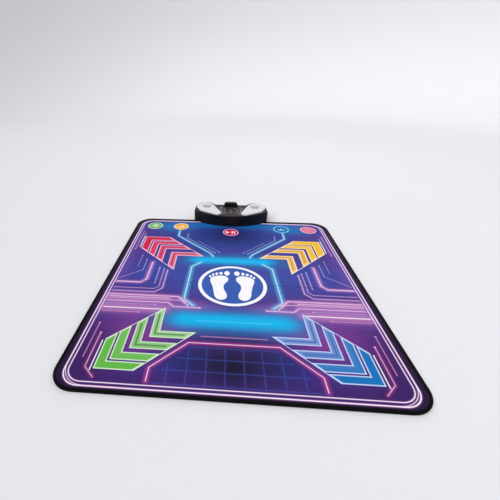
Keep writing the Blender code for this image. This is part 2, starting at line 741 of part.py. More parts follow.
REAR_SCREW_HEAD = TRAY_LOW + TRAY_WALL
BOARD_HIGH = CONSOLE_HIGH - BOARD_DROP
BOARD_LOW = BOARD_HIGH - BOARD_SHEET
BOARD_FRONT = CONSOLE_FRONT + BOARD_SETBACK
TAIL_TOP = BOARD_LOW - CONNECTOR_HEIGHT - GAP
PANEL_LOW = CONSOLE_HIGH - PANEL_SHEET
HOOD_BACK = REAR_WALL - HOOD_SETBACK
HOOD_FRONT = HOOD_BACK - HOOD_DEPTH
HOOD_MIDDLE = (HOOD_FRONT + HOOD_BACK) / 2
CABLE_HALF = CABLE_HOLE_WIDTH / 2
CABLE_REACH = CABLE_HOLE_DEPTH / 2
CABLE_HOLE = (-CABLE_HALF, CABLE_HALF, HOOD_MIDDLE - CABLE_REACH, HOOD_MIDDLE + CABLE_REACH)
BAY = 4 * CELL_RADIUS + 3 * GAP
BAY_HALF = CELL_LENGTH / 2 + CONTACT_BUTTON + CONTACT_SHEET + 2 * GAP
BAY_BACK = REAR_WALL_INSIDE - GAP
BAY_FRONT = BAY_BACK - BAY
BOX_LOW = POST_LOW + BAY_LIFT
BAY_LOW = BOX_LOW + BOX_WALL
BAY_HIGH = BAY_LOW + BAY
DOOR_HALF = BAY_HALF + DOOR_LAP - GAP
DOOR_AXIS_Y = REAR_WALL - DOOR_SHEET / 2
DOOR_AXIS_Z = BAY_LOW - DOOR_LAP + GAP + DOOR_SHEET / 2
DOOR_TOP = BAY_HIGH + DOOR_LAP - GAP
SWITCH_Z = MAT_TOP + SWITCH_LEVEL
KNOB_FOOT_HALF = KNOB_WIDTH / 2 + KNOB_FOOT_LIP
KNOB_FOOT_RISE = KNOB_HEIGHT / 2 + KNOB_FOOT_LIP


def key_places():
    """The console keys in rows and columns, front row first."""
    places = []
    for row in range(KEY_ROWS):
        for column in range(KEY_COLUMNS):
            x = (column - (KEY_COLUMNS - 1) / 2) * KEY_PITCH_ACROSS
            places.append((x, CONSOLE_FRONT + KEYS_SETBACK + row * KEY_PITCH_ALONG))
    return places


def key_outline(place, width, length, radius):
    x, y = place
    return rounded(rectangle(x - width / 2, x + width / 2, y - length / 2, y + length / 2), radius)


def add_console_base():
    """The floor plate on the mat, and the tray that steps down behind the mat's edge."""
    inside = CONSOLE_WALL + GAP
    base = add_piece("console_base", prism(console_outline(inside), CONSOLE_LOW, PLATE_HIGH), BLACK)
    neck = keep_behind(console_outline(inside + TRAY_WALL / 2), TRAY_FRONT + TRAY_WALL / 2)
    join(base, "base_neck", prism(neck, MAT_TOP - 2 * GAP, PLATE_HIGH - GAP))
    join(base, "base_tray", prism(keep_behind(console_outline(0), TRAY_FRONT), TRAY_LOW, MAT_TOP))
    hollow = keep_behind(console_outline(inside + TRAY_WALL), TRAY_FRONT + TRAY_WALL)
    cut(base, "base_hollow", prism(hollow, TRAY_FLOOR, CONSOLE_HIGH))
    box_half = BAY_HALF + BOX_WALL
    box_rest = (BAY_FRONT - BOX_WALL, BAY_BACK - TRAY_WALL, TRAY_FLOOR - GAP, BOX_LOW - GAP)
    rests = [block(-box_half, box_half, *box_rest)]
    front_post = (BOARD_FRONT + BOARD_POST_INSET, PLATE_HIGH - GAP)
    rear_post = (BOARD_FRONT + BOARD_LENGTH - BOARD_POST_INSET, TRAY_FLOOR - GAP)
    for side in (-1, 1):
        for y, low in (front_post, rear_post):
            place = (side * (BOARD_WIDTH / 2 - BOARD_POST_INSET), y)
            rests.append(rod(place, BOARD_POST_RADIUS, low, BOARD_LOW - GAP))
    rests += [rod(place, BOSS_RADIUS, TRAY_FLOOR - GAP, PLATE_HIGH) for place in REAR_SCREWS]
    join(base, "base_rests", gather(rests))
    holes = [rod(place, SCREW_HOLE, CONSOLE_LOW - GAP, PLATE_HIGH + GAP) for place in FRONT_SCREWS]
    holes += [screw_bore(place, TRAY_LOW - GAP, REAR_SCREW_HEAD + SCREW_HEAD_HEIGHT + GAP, PLATE_HIGH + GAP)
              for place in REAR_SCREWS]
    holes.append(prism(tail_slot(TAIL_BEND), CONSOLE_LOW - GAP, PLATE_HIGH + GAP))
    cut(base, "base_holes", gather(holes))
    weld(base)


def add_console_top():
    """The black shell, open below, with everything that passes through its walls."""
    inside = console_outline(CONSOLE_WALL)
    rings = [ring_at(inside, CEILING), ring_at(inside, CONSOLE_LOW), ring_at(console_outline(0), CONSOLE_LOW)]
    for step in range(EDGE_STEPS + 1):
        angle = math.radians(90 * step / EDGE_STEPS)
        inset = CONSOLE_EDGE * (1 - math.cos(angle))
        rings.append(ring_at(console_outline(inset), CONSOLE_HIGH - CONSOLE_EDGE * (1 - math.sin(angle))))
    top = add_piece("console_top", loft(rings), BLACK, 0.35)
    screws = FRONT_SCREWS + REAR_SCREWS
    posts = [rod(place, POST_RADIUS, POST_LOW, CEILING + GAP) for place in screws]
    join(top, "top_posts", gather(posts))
    bores = [rod(place, SCREW_HOLE, POST_LOW - GAP, POST_LOW + SCREW_BITE + GAP) for place in screws]
    cut(top, "top_bores", gather(bores))
    ceiling = (CEILING - GAP, CONSOLE_HIGH + GAP)
    sound_hole = CONE_RADIUS + 2 * GAP
    through = [rod((side * SPEAKER_SIDE, SPEAKER_Y), sound_hole, *ceiling, ROUND_STEPS) for side in (-1, 1)]
    through.append(prism(panel_outline(PANEL_LEDGE), *ceiling))
    through.append(block(*CABLE_HOLE, *ceiling))
    cut(top, "top_openings", gather(through))
    cut(top, "panel_seat", prism(panel_outline(-GAP), PANEL_LOW - GAP, CONSOLE_HIGH + GAP))
    wall = (REAR_WALL_INSIDE - GAP, REAR_WALL + GAP)
    slot_half = (KNOB_WIDTH + SWITCH_TRAVEL) / 2 + GAP
    slot_rise = KNOB_HEIGHT / 2 + GAP
    slot_levels = (SWITCH_Z - slot_rise, SWITCH_Z + slot_rise)
    slot = (SWITCH_SIDE - slot_half, SWITCH_SIDE + slot_half, *wall, *slot_levels)
    barrel_hole = rod((0, 0), SOCKET_BARREL + GAP, *wall, ROUND_STEPS)
    wall_cuts = [block(-BAY_HALF, BAY_HALF, *wall, BAY_LOW, BAY_HIGH), block(*slot)]
    wall_cuts.append(lay_back(barrel_hole, -SOCKET_SIDE, SWITCH_Z))
    cut(top, "wall_openings", gather(wall_cuts))
    seat_half = DOOR_HALF + GAP
    seat_depth = (REAR_WALL - DOOR_SHEET - GAP, REAR_WALL + GAP)
    seat_low = DOOR_AXIS_Z - DOOR_SHEET / 2 - GAP
    cut(top, "door_seat", block(-seat_half, seat_half, *seat_depth, seat_low, DOOR_TOP + GAP))
    pin_reach = DOOR_HALF + DOOR_PIN_LENGTH + GAP
    pin_hole = rod((0, 0), DOOR_PIN_RADIUS + GAP, -pin_reach, pin_reach)
    cut(top, "door_pin_holes", lay_across(pin_hole, DOOR_AXIS_Y, DOOR_AXIS_Z))
    weld(top)


def add_rubber_foot():
    back = REAR_WALL - 2 * CONSOLE_WALL
    strip = block(-FOOT_WIDTH / 2, FOOT_WIDTH / 2, back - FOOT_DEPTH, back, 0, FOOT_HEIGHT)
    add_piece("rubber_foot", strip, RUBBER, 0.9)


def add_speaker(side_name, side):
    """One driver hung under the ceiling, its moving cone, and the slotted pod above them."""
    centre = (side * SPEAKER_SIDE, SPEAKER_Y)
    rim = CEILING - GAP
    well_radius = CONE_RADIUS + GAP
    well_step = rim - CONE_SHEET - CONE_TRAVEL - 2 * GAP
    well_floor = rim - SPEAKER_WELL
    magnet_low = rim - SPEAKER_DEPTH
    magnet_high = magnet_low + MAGNET_HEIGHT
    basket = well_radius + BASKET_WALL
    profile = [
        (0, magnet_low), (MAGNET_RADIUS, magnet_low), (MAGNET_RADIUS, magnet_high),
        (basket, magnet_high + basket - MAGNET_RADIUS), (basket, rim - SPEAKER_FLANGE),
        (SPEAKER_RADIUS, rim - SPEAKER_FLANGE), (SPEAKER_RADIUS, rim), (well_radius, rim),
        (well_radius, well_step), (MAGNET_RADIUS - BASKET_WALL, well_floor), (0, well_floor),
    ]
    add_piece(f"speaker_driver_{side_name}", turned(profile, centre), STEEL, 0.4, 1.0)
    low = rim - CONE_DEPTH
    cone = [
        (0, low), (CONE_CAP_RADIUS, low), (CONE_RADIUS - CONE_SHEET, rim - CONE_SHEET),
        (CONE_RADIUS, rim - CONE_SHEET), (CONE_RADIUS, rim), (CONE_RADIUS - 2 * CONE_SHEET, rim),
        (CONE_CAP_RADIUS, low + 2 * CONE_SHEET), (0, low + 4 * CONE_SHEET),
    ]
    add_piece(f"speaker_cone_{side_name}", turned(cone, centre), PAPER, 0.8, origin=(*centre, rim))
    bottom = CONSOLE_HIGH + GAP
    top = bottom + POD_HEIGHT
    rings = [ring_at(pod_outline(side, POD_EDGE), top - POD_WALL),
             ring_at(pod_outline(side, POD_WALL), top - POD_EDGE),
             ring_at(pod_outline(side, POD_WALL), bottom), ring_at(pod_outline(side, 0), bottom)]
    for step in range(EDGE_STEPS + 1):
        angle = math.radians(90 * step / EDGE_STEPS)
        inset = POD_EDGE * (1 - math.cos(angle))
        rings.append(ring_at(pod_outline(side, inset), top - POD_EDGE * (1 - math.sin(angle))))
    pod = add_piece(f"speaker_pod_{side_name}", loft(rings), WHITE, 0.4)
    slots = []
    half = POD_SLOT_WIDTH / 2
    for index in range(POD_SLOTS):
        slot = block(-half, half, POD_SLOT_INNER, POD_SLOT_OUTER, top - POD_EDGE, top + GAP)
        turn = math.radians((index - (POD_SLOTS - 1) / 2) * POD_FAN_ANGLE)
        place = Matrix.Translation((centre[0], centre[1] - POD_FAN_SETBACK, 0)) @ Matrix.Rotation(turn, 4, "Z")
        bmesh.ops.transform(slot, verts=slot.verts, matrix=place)
        slots.append(slot)
    cut(pod, f"pod_slots_{side_name}", gather(slots))


def add_panel_and_keys():
    """The grey panel in its seat, the six keys under it and the board that they press."""
    places = key_places()
    holes = [key_outline(place, KEY_WIDTH + 2 * GAP, KEY_LENGTH + 2 * GAP, KEY_CORNER) for place in places]
    add_piece("control_panel", prism(panel_outline(0), PANEL_LOW, CONSOLE_HIGH, holes), DARK_GREY)
    flange_high = PANEL_LOW - GAP
    flange_low = flange_high - KEY_FLANGE_SHEET
    stem_low = BOARD_HIGH + SWITCH_HEIGHT + GAP + KEY_TRAVEL
    cap_high = CONSOLE_HIGH + KEY_RISE
    bevel = KEY_RISE / 2
    for number, place in enumerate(places, start=1):
        stem = key_outline(place, 2 * KEY_STEM_RADIUS, 2 * KEY_STEM_RADIUS, KEY_STEM_RADIUS / 2)
        flange = key_outline(place, KEY_WIDTH + 2 * KEY_FLANGE, KEY_LENGTH + 2 * KEY_FLANGE, KEY_CORNER)
        cap = key_outline(place, KEY_WIDTH, KEY_LENGTH, KEY_CORNER)
        crown = key_outline(place, KEY_WIDTH - 2 * bevel, KEY_LENGTH - 2 * bevel, KEY_CORNER - bevel)
        rings = [ring_at(stem, stem_low), ring_at(stem, flange_low), ring_at(flange, flange_low),
                 ring_at(flange, flange_high), ring_at(cap, flange_high), ring_at(cap, cap_high - bevel),
                 ring_at(crown, cap_high)]
        add_piece(f"console_key_{number}", loft(rings), WHITE, origin=(*place, cap_high))
    half = BOARD_WIDTH / 2
    sheet = block(-half, half, BOARD_FRONT, BOARD_FRONT + BOARD_LENGTH, BOARD_LOW, BOARD_HIGH)
    board = add_piece("main_board", sheet, BOARD_GREEN)
    half = SWITCH_BLOCK / 2
    parts = [block(x - half, x + half, y - half, y + half, BOARD_HIGH - GAP, BOARD_HIGH + SWITCH_HEIGHT)
             for x, y in places]
    half = TAIL_HALF + CONNECTOR_LIP
    parts.append(block(-half, half, TAIL_Y - CONNECTOR_LIP, TAIL_Y - CONNECTOR_LIP + CONNECTOR_DEPTH,
                       BOARD_LOW - CONNECTOR_HEIGHT, BOARD_LOW + GAP))
    join(board, "board_parts", gather(parts))


def add_score_display():
    """The hood behind the panel, its smoked window, and the display module inside it."""
    hood = add_piece("display_hood", stand_up(prism(hood_outline(0), HOOD_FRONT, HOOD_BACK)), BLACK, 0.3)
    pocket = prism(hood_outline(HOOD_WALL), HOOD_FRONT - GAP, HOOD_BACK - HOOD_WALL)
    cut(hood, "hood_pocket", stand_up(pocket))
    low = CONSOLE_HIGH + GAP
    cut(hood, "hood_cable_hole", block(*CABLE_HOLE, low - GAP, low + HOOD_WALL + GAP))
    window_front = HOOD_FRONT + WINDOW_SINK
    window = stand_up(prism(hood_outline(HOOD_WALL + GAP), window_front, window_front + WINDOW_SHEET))
    add_piece("display_window", window, BLACK, 0.1)
    front = window_front + WINDOW_SHEET + GAP
    floor = low + HOOD_WALL + GAP
    half = DISPLAY_WIDTH / 2
    module = block(-half, half, front, front + DISPLAY_DEPTH, floor, floor + DISPLAY_HEIGHT)
    add_piece("display_module", module, DARK_GREY)


def add_battery_bay():
    """The open box behind the door, four cells in two rows, and the contacts at both ends."""
    half = BAY_HALF + BOX_WALL
    outside = block(-half, half, BAY_FRONT - BOX_WALL, BAY_BACK, BOX_LOW, BAY_HIGH + BOX_WALL)
    box = add_piece("battery_box", outside, BLACK)
    cut(box, "battery_space", block(-BAY_HALF, BAY_HALF, BAY_FRONT, BAY_BACK + GAP, BAY_LOW, BAY_HIGH))
    pitch = 2 * CELL_RADIUS + GAP
    rows = [(BAY_FRONT + GAP + CELL_RADIUS + row * pitch, BAY_LOW + GAP + CELL_RADIUS + level * pitch)
            for level in range(2) for row in range(2)]
    shoulder = CELL_LENGTH / 2 - CELL_NUB
    cell = [(0, -CELL_LENGTH / 2), (CELL_RADIUS, -CELL_LENGTH / 2), (CELL_RADIUS, shoulder),
            (CELL_NUB_RADIUS, shoulder), (CELL_NUB_RADIUS, CELL_LENGTH / 2), (0, CELL_LENGTH / 2)]
    for number, (y, z) in enumerate(rows, start=1):
        shape = lay_across(turned(cell, (0, 0), SMALL_STEPS), y, z)
        if number % 2 == 0:
            half_turn = Matrix.Rotation(math.pi, 4, "Z")
            turn = Matrix.Translation((0, y, 0)) @ half_turn @ Matrix.Translation((0, -y, 0))
            bmesh.ops.transform(shape, verts=shape.verts, matrix=turn)
        add_piece(f"battery_{number}", shape, STEEL, 0.3)
    for side_name, side in (("left", -1), ("right", 1)):
        outer = side * (BAY_HALF - GAP)
        inner = outer - side * CONTACT_SHEET
        ends = sorted((outer, inner))
        sheet = block(*ends, BAY_FRONT + GAP, BAY_BACK, BAY_LOW + GAP, BAY_HIGH - GAP)
        plate = add_piece(f"battery_contacts_{side_name}", sheet, BRASS, 0.3, 1.0)
        tip = inner - side * CONTACT_BUTTON
        reach = sorted((tip, outer - side * CONTACT_SHEET / 2))
        buttons = [lay_across(rod((0, 0), CONTACT_BUTTON_RADIUS, *reach), y, z) for y, z in rows]
        join(plate, f"contact_buttons_{side_name}", gather(buttons))


def add_battery_door():
    """The door, with a round lower edge about its hinge axis and a pin at each end."""
    axis = (DOOR_AXIS_Y, DOOR_AXIS_Z)
    outline = [*arc(axis, DOOR_SHEET / 2, 180, 360, EAR_STEPS)]
    outline += [(REAR_WALL, DOOR_TOP), (REAR_WALL - DOOR_SHEET, DOOR_TOP)]
    leaf = side_view(prism(outline, -DOOR_HALF, DOOR_HALF))
    door = add_piece("battery_door", leaf, BLACK, 0.4, origin=(0, DOOR_AXIS_Y, DOOR_AXIS_Z))
    reach = DOOR_HALF + DOOR_PIN_LENGTH
    join(door, "door_pins", lay_across(rod((0, 0), DOOR_PIN_RADIUS, -reach, reach), DOOR_AXIS_Y, DOOR_AXIS_Z))


def add_power_switch():
    """The switch case behind the rear wall, and the knob that slides across its slot."""
    case_half = KNOB_FOOT_HALF + SWITCH_TRAVEL / 2 + GAP
    case_rise = KNOB_FOOT_RISE + GAP
    outer_half = case_half + SWITCH_CASE
    outer_rise = case_rise + SWITCH_CASE
    back = REAR_WALL_INSIDE - GAP
    foot_back = back - GAP
    foot_front = foot_back - KNOB_FOOT
    case = block(SWITCH_SIDE - outer_half, SWITCH_SIDE + outer_half, foot_front - GAP - SWITCH_CASE, back,
                 SWITCH_Z - outer_rise, SWITCH_Z + outer_rise)
    body = add_piece("power_switch_body", case, STEEL, 0.4, 1.0)
    pocket = block(SWITCH_SIDE - case_half, SWITCH_SIDE + case_half, foot_front - GAP, back + GAP,
                   SWITCH_Z - case_rise, SWITCH_Z + case_rise)
    cut(body, "switch_pocket", pocket)
    middle = SWITCH_SIDE - SWITCH_TRAVEL / 2
    foot = block(middle - KNOB_FOOT_HALF, middle + KNOB_FOOT_HALF, foot_front, foot_back,
                 SWITCH_Z - KNOB_FOOT_RISE, SWITCH_Z + KNOB_FOOT_RISE)
    knob = add_piece("power_switch_knob", foot, WHITE, origin=(middle, REAR_WALL, SWITCH_Z))
    half = KNOB_WIDTH / 2
    rise = KNOB_HEIGHT / 2
    stem_reach = (foot_back - GAP, REAR_WALL + KNOB_PROUD)
    stem = block(middle - half, middle + half, *stem_reach, SWITCH_Z - rise, SWITCH_Z + rise)
    join(knob, "knob_stem", stem)


def add_audio_socket():
    """The case of the audio socket, with a round barrel through the wall and a bore for the plug."""
    back = REAR_WALL_INSIDE - GAP
    front = REAR_WALL - SOCKET_DEPTH - SWITCH_CASE
    case = block(-SOCKET_SIDE - SOCKET_CASE, -SOCKET_SIDE + SOCKET_CASE, front, back,
                 SWITCH_Z - SOCKET_CASE, SWITCH_Z + SOCKET_CASE)
    socket = add_piece("audio_socket", case, BLACK, 0.4)
    barrel = rod((0, 0), SOCKET_BARREL, back - GAP, REAR_WALL, ROUND_STEPS)
    join(socket, "socket_barrel", lay_back(barrel, -SOCKET_SIDE, SWITCH_Z))
    bore = rod((0, 0), SOCKET_BORE, REAR_WALL - SOCKET_DEPTH, REAR_WALL + GAP)
    cut(socket, "socket_bore", lay_back(bore, -SOCKET_SIDE, SWITCH_Z))


fold_axis = bpy.data.objects.new("fold_axis", None)
bpy.context.scene.collection.objects.link(fold_axis)
fold_axis.location = (0, CREASE, FOLD_AXIS_Z)

add_mat_half(True, None)
add_mat_half(False, fold_axis)
add_step_zones(fold_axis)
add_touch_keys()
add_clamp()
add_tail()
add_console_base()
add_console_top()
add_rubber_foot()
for speaker_name, speaker_side in (("left", -1), ("right", 1)):
    add_speaker(speaker_name, speaker_side)
add_panel_and_keys()
add_score_display()
add_battery_bay()
add_battery_door()
add_power_switch()
add_audio_socket()
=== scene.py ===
"""The looks of an electronic dance mat: printed cover, taped edge, sprung zones and a speaker console."""

import math

import bmesh
import bpy
import numpy as np
from bpy.props import FloatProperty, FloatVectorProperty, PointerProperty
from mathutils import Matrix, Vector, noise
from mathutils.geometry import delaunay_2d_cdt


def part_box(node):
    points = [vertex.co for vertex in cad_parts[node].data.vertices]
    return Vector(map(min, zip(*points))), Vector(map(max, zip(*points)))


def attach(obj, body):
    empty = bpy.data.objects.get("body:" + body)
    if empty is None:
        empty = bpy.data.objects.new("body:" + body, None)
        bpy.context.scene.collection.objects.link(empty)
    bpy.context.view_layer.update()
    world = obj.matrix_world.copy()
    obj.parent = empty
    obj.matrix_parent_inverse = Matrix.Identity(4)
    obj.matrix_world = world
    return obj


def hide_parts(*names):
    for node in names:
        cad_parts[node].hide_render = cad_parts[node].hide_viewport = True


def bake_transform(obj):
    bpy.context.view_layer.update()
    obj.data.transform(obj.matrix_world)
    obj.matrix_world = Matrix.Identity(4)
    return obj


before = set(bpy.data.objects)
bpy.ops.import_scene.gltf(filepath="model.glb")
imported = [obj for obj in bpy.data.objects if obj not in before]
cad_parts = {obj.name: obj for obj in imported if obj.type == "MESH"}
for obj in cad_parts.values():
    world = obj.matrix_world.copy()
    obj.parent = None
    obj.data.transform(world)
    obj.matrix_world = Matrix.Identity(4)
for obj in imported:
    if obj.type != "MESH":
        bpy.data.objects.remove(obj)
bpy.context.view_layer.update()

bl_info = {
    "name": "Electronic dance mat",
    "version": (1, 0, 0),
    "blender": (4, 5, 0),
    "location": "3D View > Sidebar > Dance mat",
    "description": "Builds a folding dance mat with a printed cover and a speaker console",
    "category": "Object",
}

MM = 0.001

# Plan and layers of the mat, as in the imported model
MAT_WIDTH = 0.900
MAT_LENGTH = 1.000
MAT_CORNER = 0.066
CREASE = -0.045
MAT_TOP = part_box("play_cover_rear")[1].z
COVER_SHEET = 0.0008
BASE_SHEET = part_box("anti_slip_base_rear")[1].z
BASE_INSET = 0.0103
LAYER_INSET = 0.0015
BAR_LOW, BAR_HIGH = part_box("clamp_bar")
GAP = 0.0003

# Step zones: side, rear or front, arm, run and the arrows' outer corner
ARROW_MARGIN = 0.012
ZONE_CORNER = 0.010
ZONES = {
    "red": (-1, 1, 0.104, 0.160, (0.376, 0.299)),
    "yellow": (1, 1, 0.104, 0.160, (0.376, 0.299)),
    "green": (-1, -1, 0.100, 0.145, (0.3535, -0.435)),
    "blue": (1, -1, 0.100, 0.145, (0.3535, -0.435)),
}
# Each arrow's distance in from the first along both sides, and its band, in mm, for the rear and the front
ARROWS = {
    1: [(0, 34), (40, 28), (78, 29), (132, 28)],
    -1: [(0, 27), (32, 27), (73, 27), (118, 27)],
}
ARROW_EDGE = 0.0036
ARROW_HEART = 0.0105
RAIL = 0.0035
INK = 0.00012

# A sprung patch's edge stays level with the cover, and a band inside it dips to its middle
ZONE_BAND = 0.008
KEY_BAND = 0.0024
PATCH_DIP = 0.00015
PATCH_SLACK = 0.0006

KEY_RADIUS = 0.038
KEY_DISC = 0.0335
KEY_RIM = (0.0310, 0.0354)
KEYS = {
    "green": (-0.358, 0.416),
    "orange": (-0.234, 0.416),
    "play": (0.0, 0.368),
    "blue": (0.234, 0.416),
    "red": (0.358, 0.416),
}

# The fan of sound slots in each speaker pod, as in the imported model: its centre and reach, the slots' number,
# width and pitch in degrees, and how far the painted shade in a slot fades out
FAN_PLACE = (0.118, 0.488)
FAN_REACH = (0.028, 0.068)
FAN_SLOTS = 7
FAN_SLOT = 0.0022
FAN_PITCH = 7.0
SLOT_FADE = 0.0002

# The centre print
RING_CENTRE = (0.0, -0.0473)
RING_OUTER = 0.1182
RING_INNER = 0.1060
# The sole and toes of one foot, as distances out from the middle and places along the mat, in mm
SOLE = [
    (13.5, -14.5), (18.5, -1.5), (29, 4.5), (42, 6), (56, 3), (69, -4), (76, -14.5), (77, -27), (73.5, -43),
    (69, -57), (65.5, -75), (62.5, -95), (59.5, -114), (52, -129), (38, -135.5), (24, -129.5), (19, -115),
    (20.5, -100.5), (26.5, -83), (30, -68), (29, -53), (23.5, -40), (16.5, -29),
]
TOES = [
    (18, 22.8, 10, 14.6), (39.6, 20.8, 5.8, 9.4), (55.2, 17.0, 5.2, 8.4), (68, 10, 4.6, 7.3),
    (78, -1.8, 4.4, 7),
]

# Rows of extra points across the crease and a coarse grid, so that the cloth can wave and rise into the ridge
CREASE_ROWS = [CREASE + step * MM for step in (-16, -12, -9, *range(-7, 8), 9, 12, 16)]
GRID = 0.020
# The laid cover is flat near its windows and the mat's edge. Over a short way it rises to low waves, which
# stand where noise and a bias are above zero
EDGE_FLAT = 0.012
WINDOW_FLAT = 0.004
WAVE_START = 0.030
WAVE_HEIGHT = 0.00035
WAVE_BIAS = 0.35
# The ridge on each side of the crease: its height, place and width
RIDGE = (0.0004, 0.0065, 0.004)

# The seam's thread, the places of a stitch's rings along it and their sides
THREAD_RADIUS = 0.00032
STITCH_RINGS = (0.0, 0.12, 0.5, 0.88, 1.0)
STITCH_SIDES = 6

# The printed sleeve round each cell, and how far in from the cell's ends it stops
SLEEVE = 0.00015
SLEEVE_INSET = 0.0012

# Threads in the cloth and the tape: real ones are near 0.5 mm, and these are drawn coarser so that they show
CLOTH_THREAD = 0.0022
TAPE_THREAD = 0.0016
DOT_PITCH = 0.008
# A wave texture of scale 1 repeats after this length
WAVE_PERIOD = math.pi / 10
# The sockets of a mix node for colours
FACTOR, UNDER, OVER = 0, 6, 7
AS_COLOUR = {"data_type": "RGBA", "out": 2}


def metres(values):
    return tuple(value * MM for value in values)


def linear(code):
    """An sRGB hex colour as linear red, green and blue."""
    parts = [int(code[place:place + 2], 16) / 255 for place in (1, 3, 5)]
    return tuple(part / 12.92 if part <= 0.04045 else ((part + 0.055) / 1.055) ** 2.4 for part in parts)


# Outlines


def arc(centre, radius, start, end, steps):
    """Points along an arc, with angles in degrees and both ends included."""
    angles = np.radians(np.linspace(start, end, steps + 1))
    return [(centre[0] + radius * math.cos(a), centre[1] + radius * math.sin(a)) for a in angles]


def circle(centre, radius, steps=64, stretch=1.0):
    ring = arc((0, 0), radius, 0, 360 - 360 / steps, steps - 1)
    return [(centre[0] + x, centre[1] + y * stretch) for x, y in ring]


def rounded(corners, radius, steps):
    """The outline through some corners, each rounded to one radius."""
    outline = []
    for index, corner in enumerate(corners):
        here = Vector(corner)
        before = (Vector(corners[index - 1]) - here).normalized()
        after = (Vector(corners[(index + 1) % len(corners)]) - here).normalized()
        half_angle = before.angle(after) / 2
        reach = radius / math.tan(half_angle)
        centre = here + (before + after).normalized() * radius / math.sin(half_angle)
        first = here + before * reach - centre
        last = here + after * reach - centre
        for step in range(steps + 1):
            spoke = first.lerp(last, step / steps).normalized() * radius
            outline.append(tuple(centre + spoke))
    return outline


def rectangle(left, right, low, high):
    return [(left, low), (right, low), (right, high), (left, high)]


def block(x, y, half_x, half_y):
    """A rectangle about its own centre."""
    return rectangle(x - half_x, x + half_x, y - half_y, y + half_y)


def smooth_loop(points, steps=5):
    """A closed curve through some points."""
    loop = []
    count = len(points)
    for index in range(count):
        a, b, c, d = (np.array(points[(index + k) % count], float) for k in (-1, 0, 1, 2))
        for step in range(steps):
            t = step / steps
            place = b + 0.5 * t * (c - a + t * (2 * a - 5 * b + 4 * c - d + t * (3 * (b - c) + d - a)))
            loop.append(tuple(place))
    return loop


def mat_outline(inset, spacing=0.025):
    """The mat's edge drawn in by an inset: straight sides in short steps, and round corners."""
    half_x, half_y = MAT_WIDTH / 2, MAT_LENGTH / 2
    radius = MAT_CORNER - inset
    corners = [(1, -1, 270), (1, 1, 0), (-1, 1, 90), (-1, -1, 180)]
    outline = []
    for index, (x, y, start) in enumerate(corners):
        centre = (x * (half_x - MAT_CORNER), y * (half_y - MAT_CORNER))
        outline += arc(centre, radius, start, start + 90, 12)
        x, y, _ = corners[(index + 1) % 4]
        centre = (x * (half_x - MAT_CORNER), y * (half_y - MAT_CORNER))
        after = arc(centre, radius, start + 90, start + 90, 1)[0]
        here = outline[-1]
        count = round(math.dist(here, after) / spacing)
        shares = [step / count for step in range(1, count)]
        if abs(after[0] - here[0]) < GAP:
            shares = sorted(shares + [(row - here[1]) / (after[1] - here[1]) for row in CREASE_ROWS])
        outline += [(here[0] + s * (after[0] - here[0]), here[1] + s * (after[1] - here[1])) for s in shares]
    return outline


def zone_outline(name, margin):
    """A step zone's outline: its arrows' outline with a margin round it."""
    side, rear, arm, run, corner = ZONES[name]
    arm += margin * math.sqrt(2)
    run += margin
    x0 = side * (corner[0] + margin)
    y0 = corner[1] + rear * margin
    steps = [(0, 0), (arm, 0), (arm + run, run), (run, arm + run), (0, arm)]
    corners = [(x0 - side * x, y0 - rear * y) for x, y in steps]
    if side * rear < 0:
        corners.reverse()
    return rounded(corners, ZONE_CORNER - (ARROW_MARGIN - margin), 5)


def on_zone(name, steps):
    """Points given as distances in from a zone's outer corner along both sides."""
    side, rear, _, _, corner = ZONES[name]
    return [(side * (corner[0] - x), corner[1] - rear * y) for x, y in steps]


def arrow_outlines(name, inset, first=0):
    """The bent arrows of a zone from one number on, each drawn in by an inset."""
    arm = ZONES[name][2]
    near_end = arm - inset * (math.sqrt(2) - 1)
    far_end = arm - inset * (math.sqrt(2) + 1)
    outlines = []
    for start, band in ARROWS[ZONES[name][1]][first:]:
        start, band = start * MM, band * MM
        steps = [(inset, inset), (near_end, inset), (far_end + band, band - inset)]
        steps += [(band - inset, band - inset)] + [(y, x) for x, y in reversed(steps[1:])]
        outlines.append(on_zone(name, [(start + x, start + y) for x, y in steps]))
    return outlines


def rail_outlines(name):
    """The two thin lines that join the arrows' ends."""
    arm, run = ZONES[name][2:4]
    steps = [(arm, 0), (arm + RAIL, 0), (arm + RAIL + run, run), (arm + run, run)]
    return [on_zone(name, steps), on_zone(name, [(y, x) for x, y in steps])]


# Meshes


def filled(outline, holes=()):
    """Points and triangles that fill an outline around its holes."""
    points, edges = [], []
    for loop in (outline, *holes):
        start = len(points)
        points += [Vector(place) for place in loop]
        edges += [(start + k, start + (k + 1) % len(loop)) for k in range(len(loop))]
    places, _, triangles, *_ = delaunay_2d_cdt(points, edges, [], 1, 1e-7)
    kept = []
    for triangle in triangles:
        middle = sum((places[corner] for corner in triangle), Vector((0, 0))) / len(triangle)
        if not any(inside(middle, hole) for hole in holes):
            kept.append(triangle)
    return places, kept


def inside(point, loop):
    """Whether a point lies inside a closed loop."""
    x, y = point
    odd = False
    for (x0, y0), (x1, y1) in zip(loop, loop[1:] + loop[:1]):
        if (y0 > y) != (y1 > y) and x < x0 + (y - y0) * (x1 - x0) / (y1 - y0):
            odd = not odd
    return odd


def plate(outline, low, high, holes=()):
    """A flat closed plate between two levels."""
    shape = bmesh.new()
    places, triangles = filled(outline, holes)
    points = [shape.verts.new((x, y, low)) for x, y in places]
    faces = [shape.faces.new([points[corner] for corner in triangle]) for triangle in triangles]
    bmesh.ops.delete(shape, geom=[point for point in points if not point.link_faces], context="VERTS")
    raised = bmesh.ops.extrude_face_region(shape, geom=faces)
    upper = [item for item in raised["geom"] if isinstance(item, bmesh.types.BMVert)]
    bmesh.ops.translate(shape, verts=upper, vec=(0, 0, high - low))
    bmesh.ops.recalc_face_normals(shape, faces=shape.faces)
    return shape


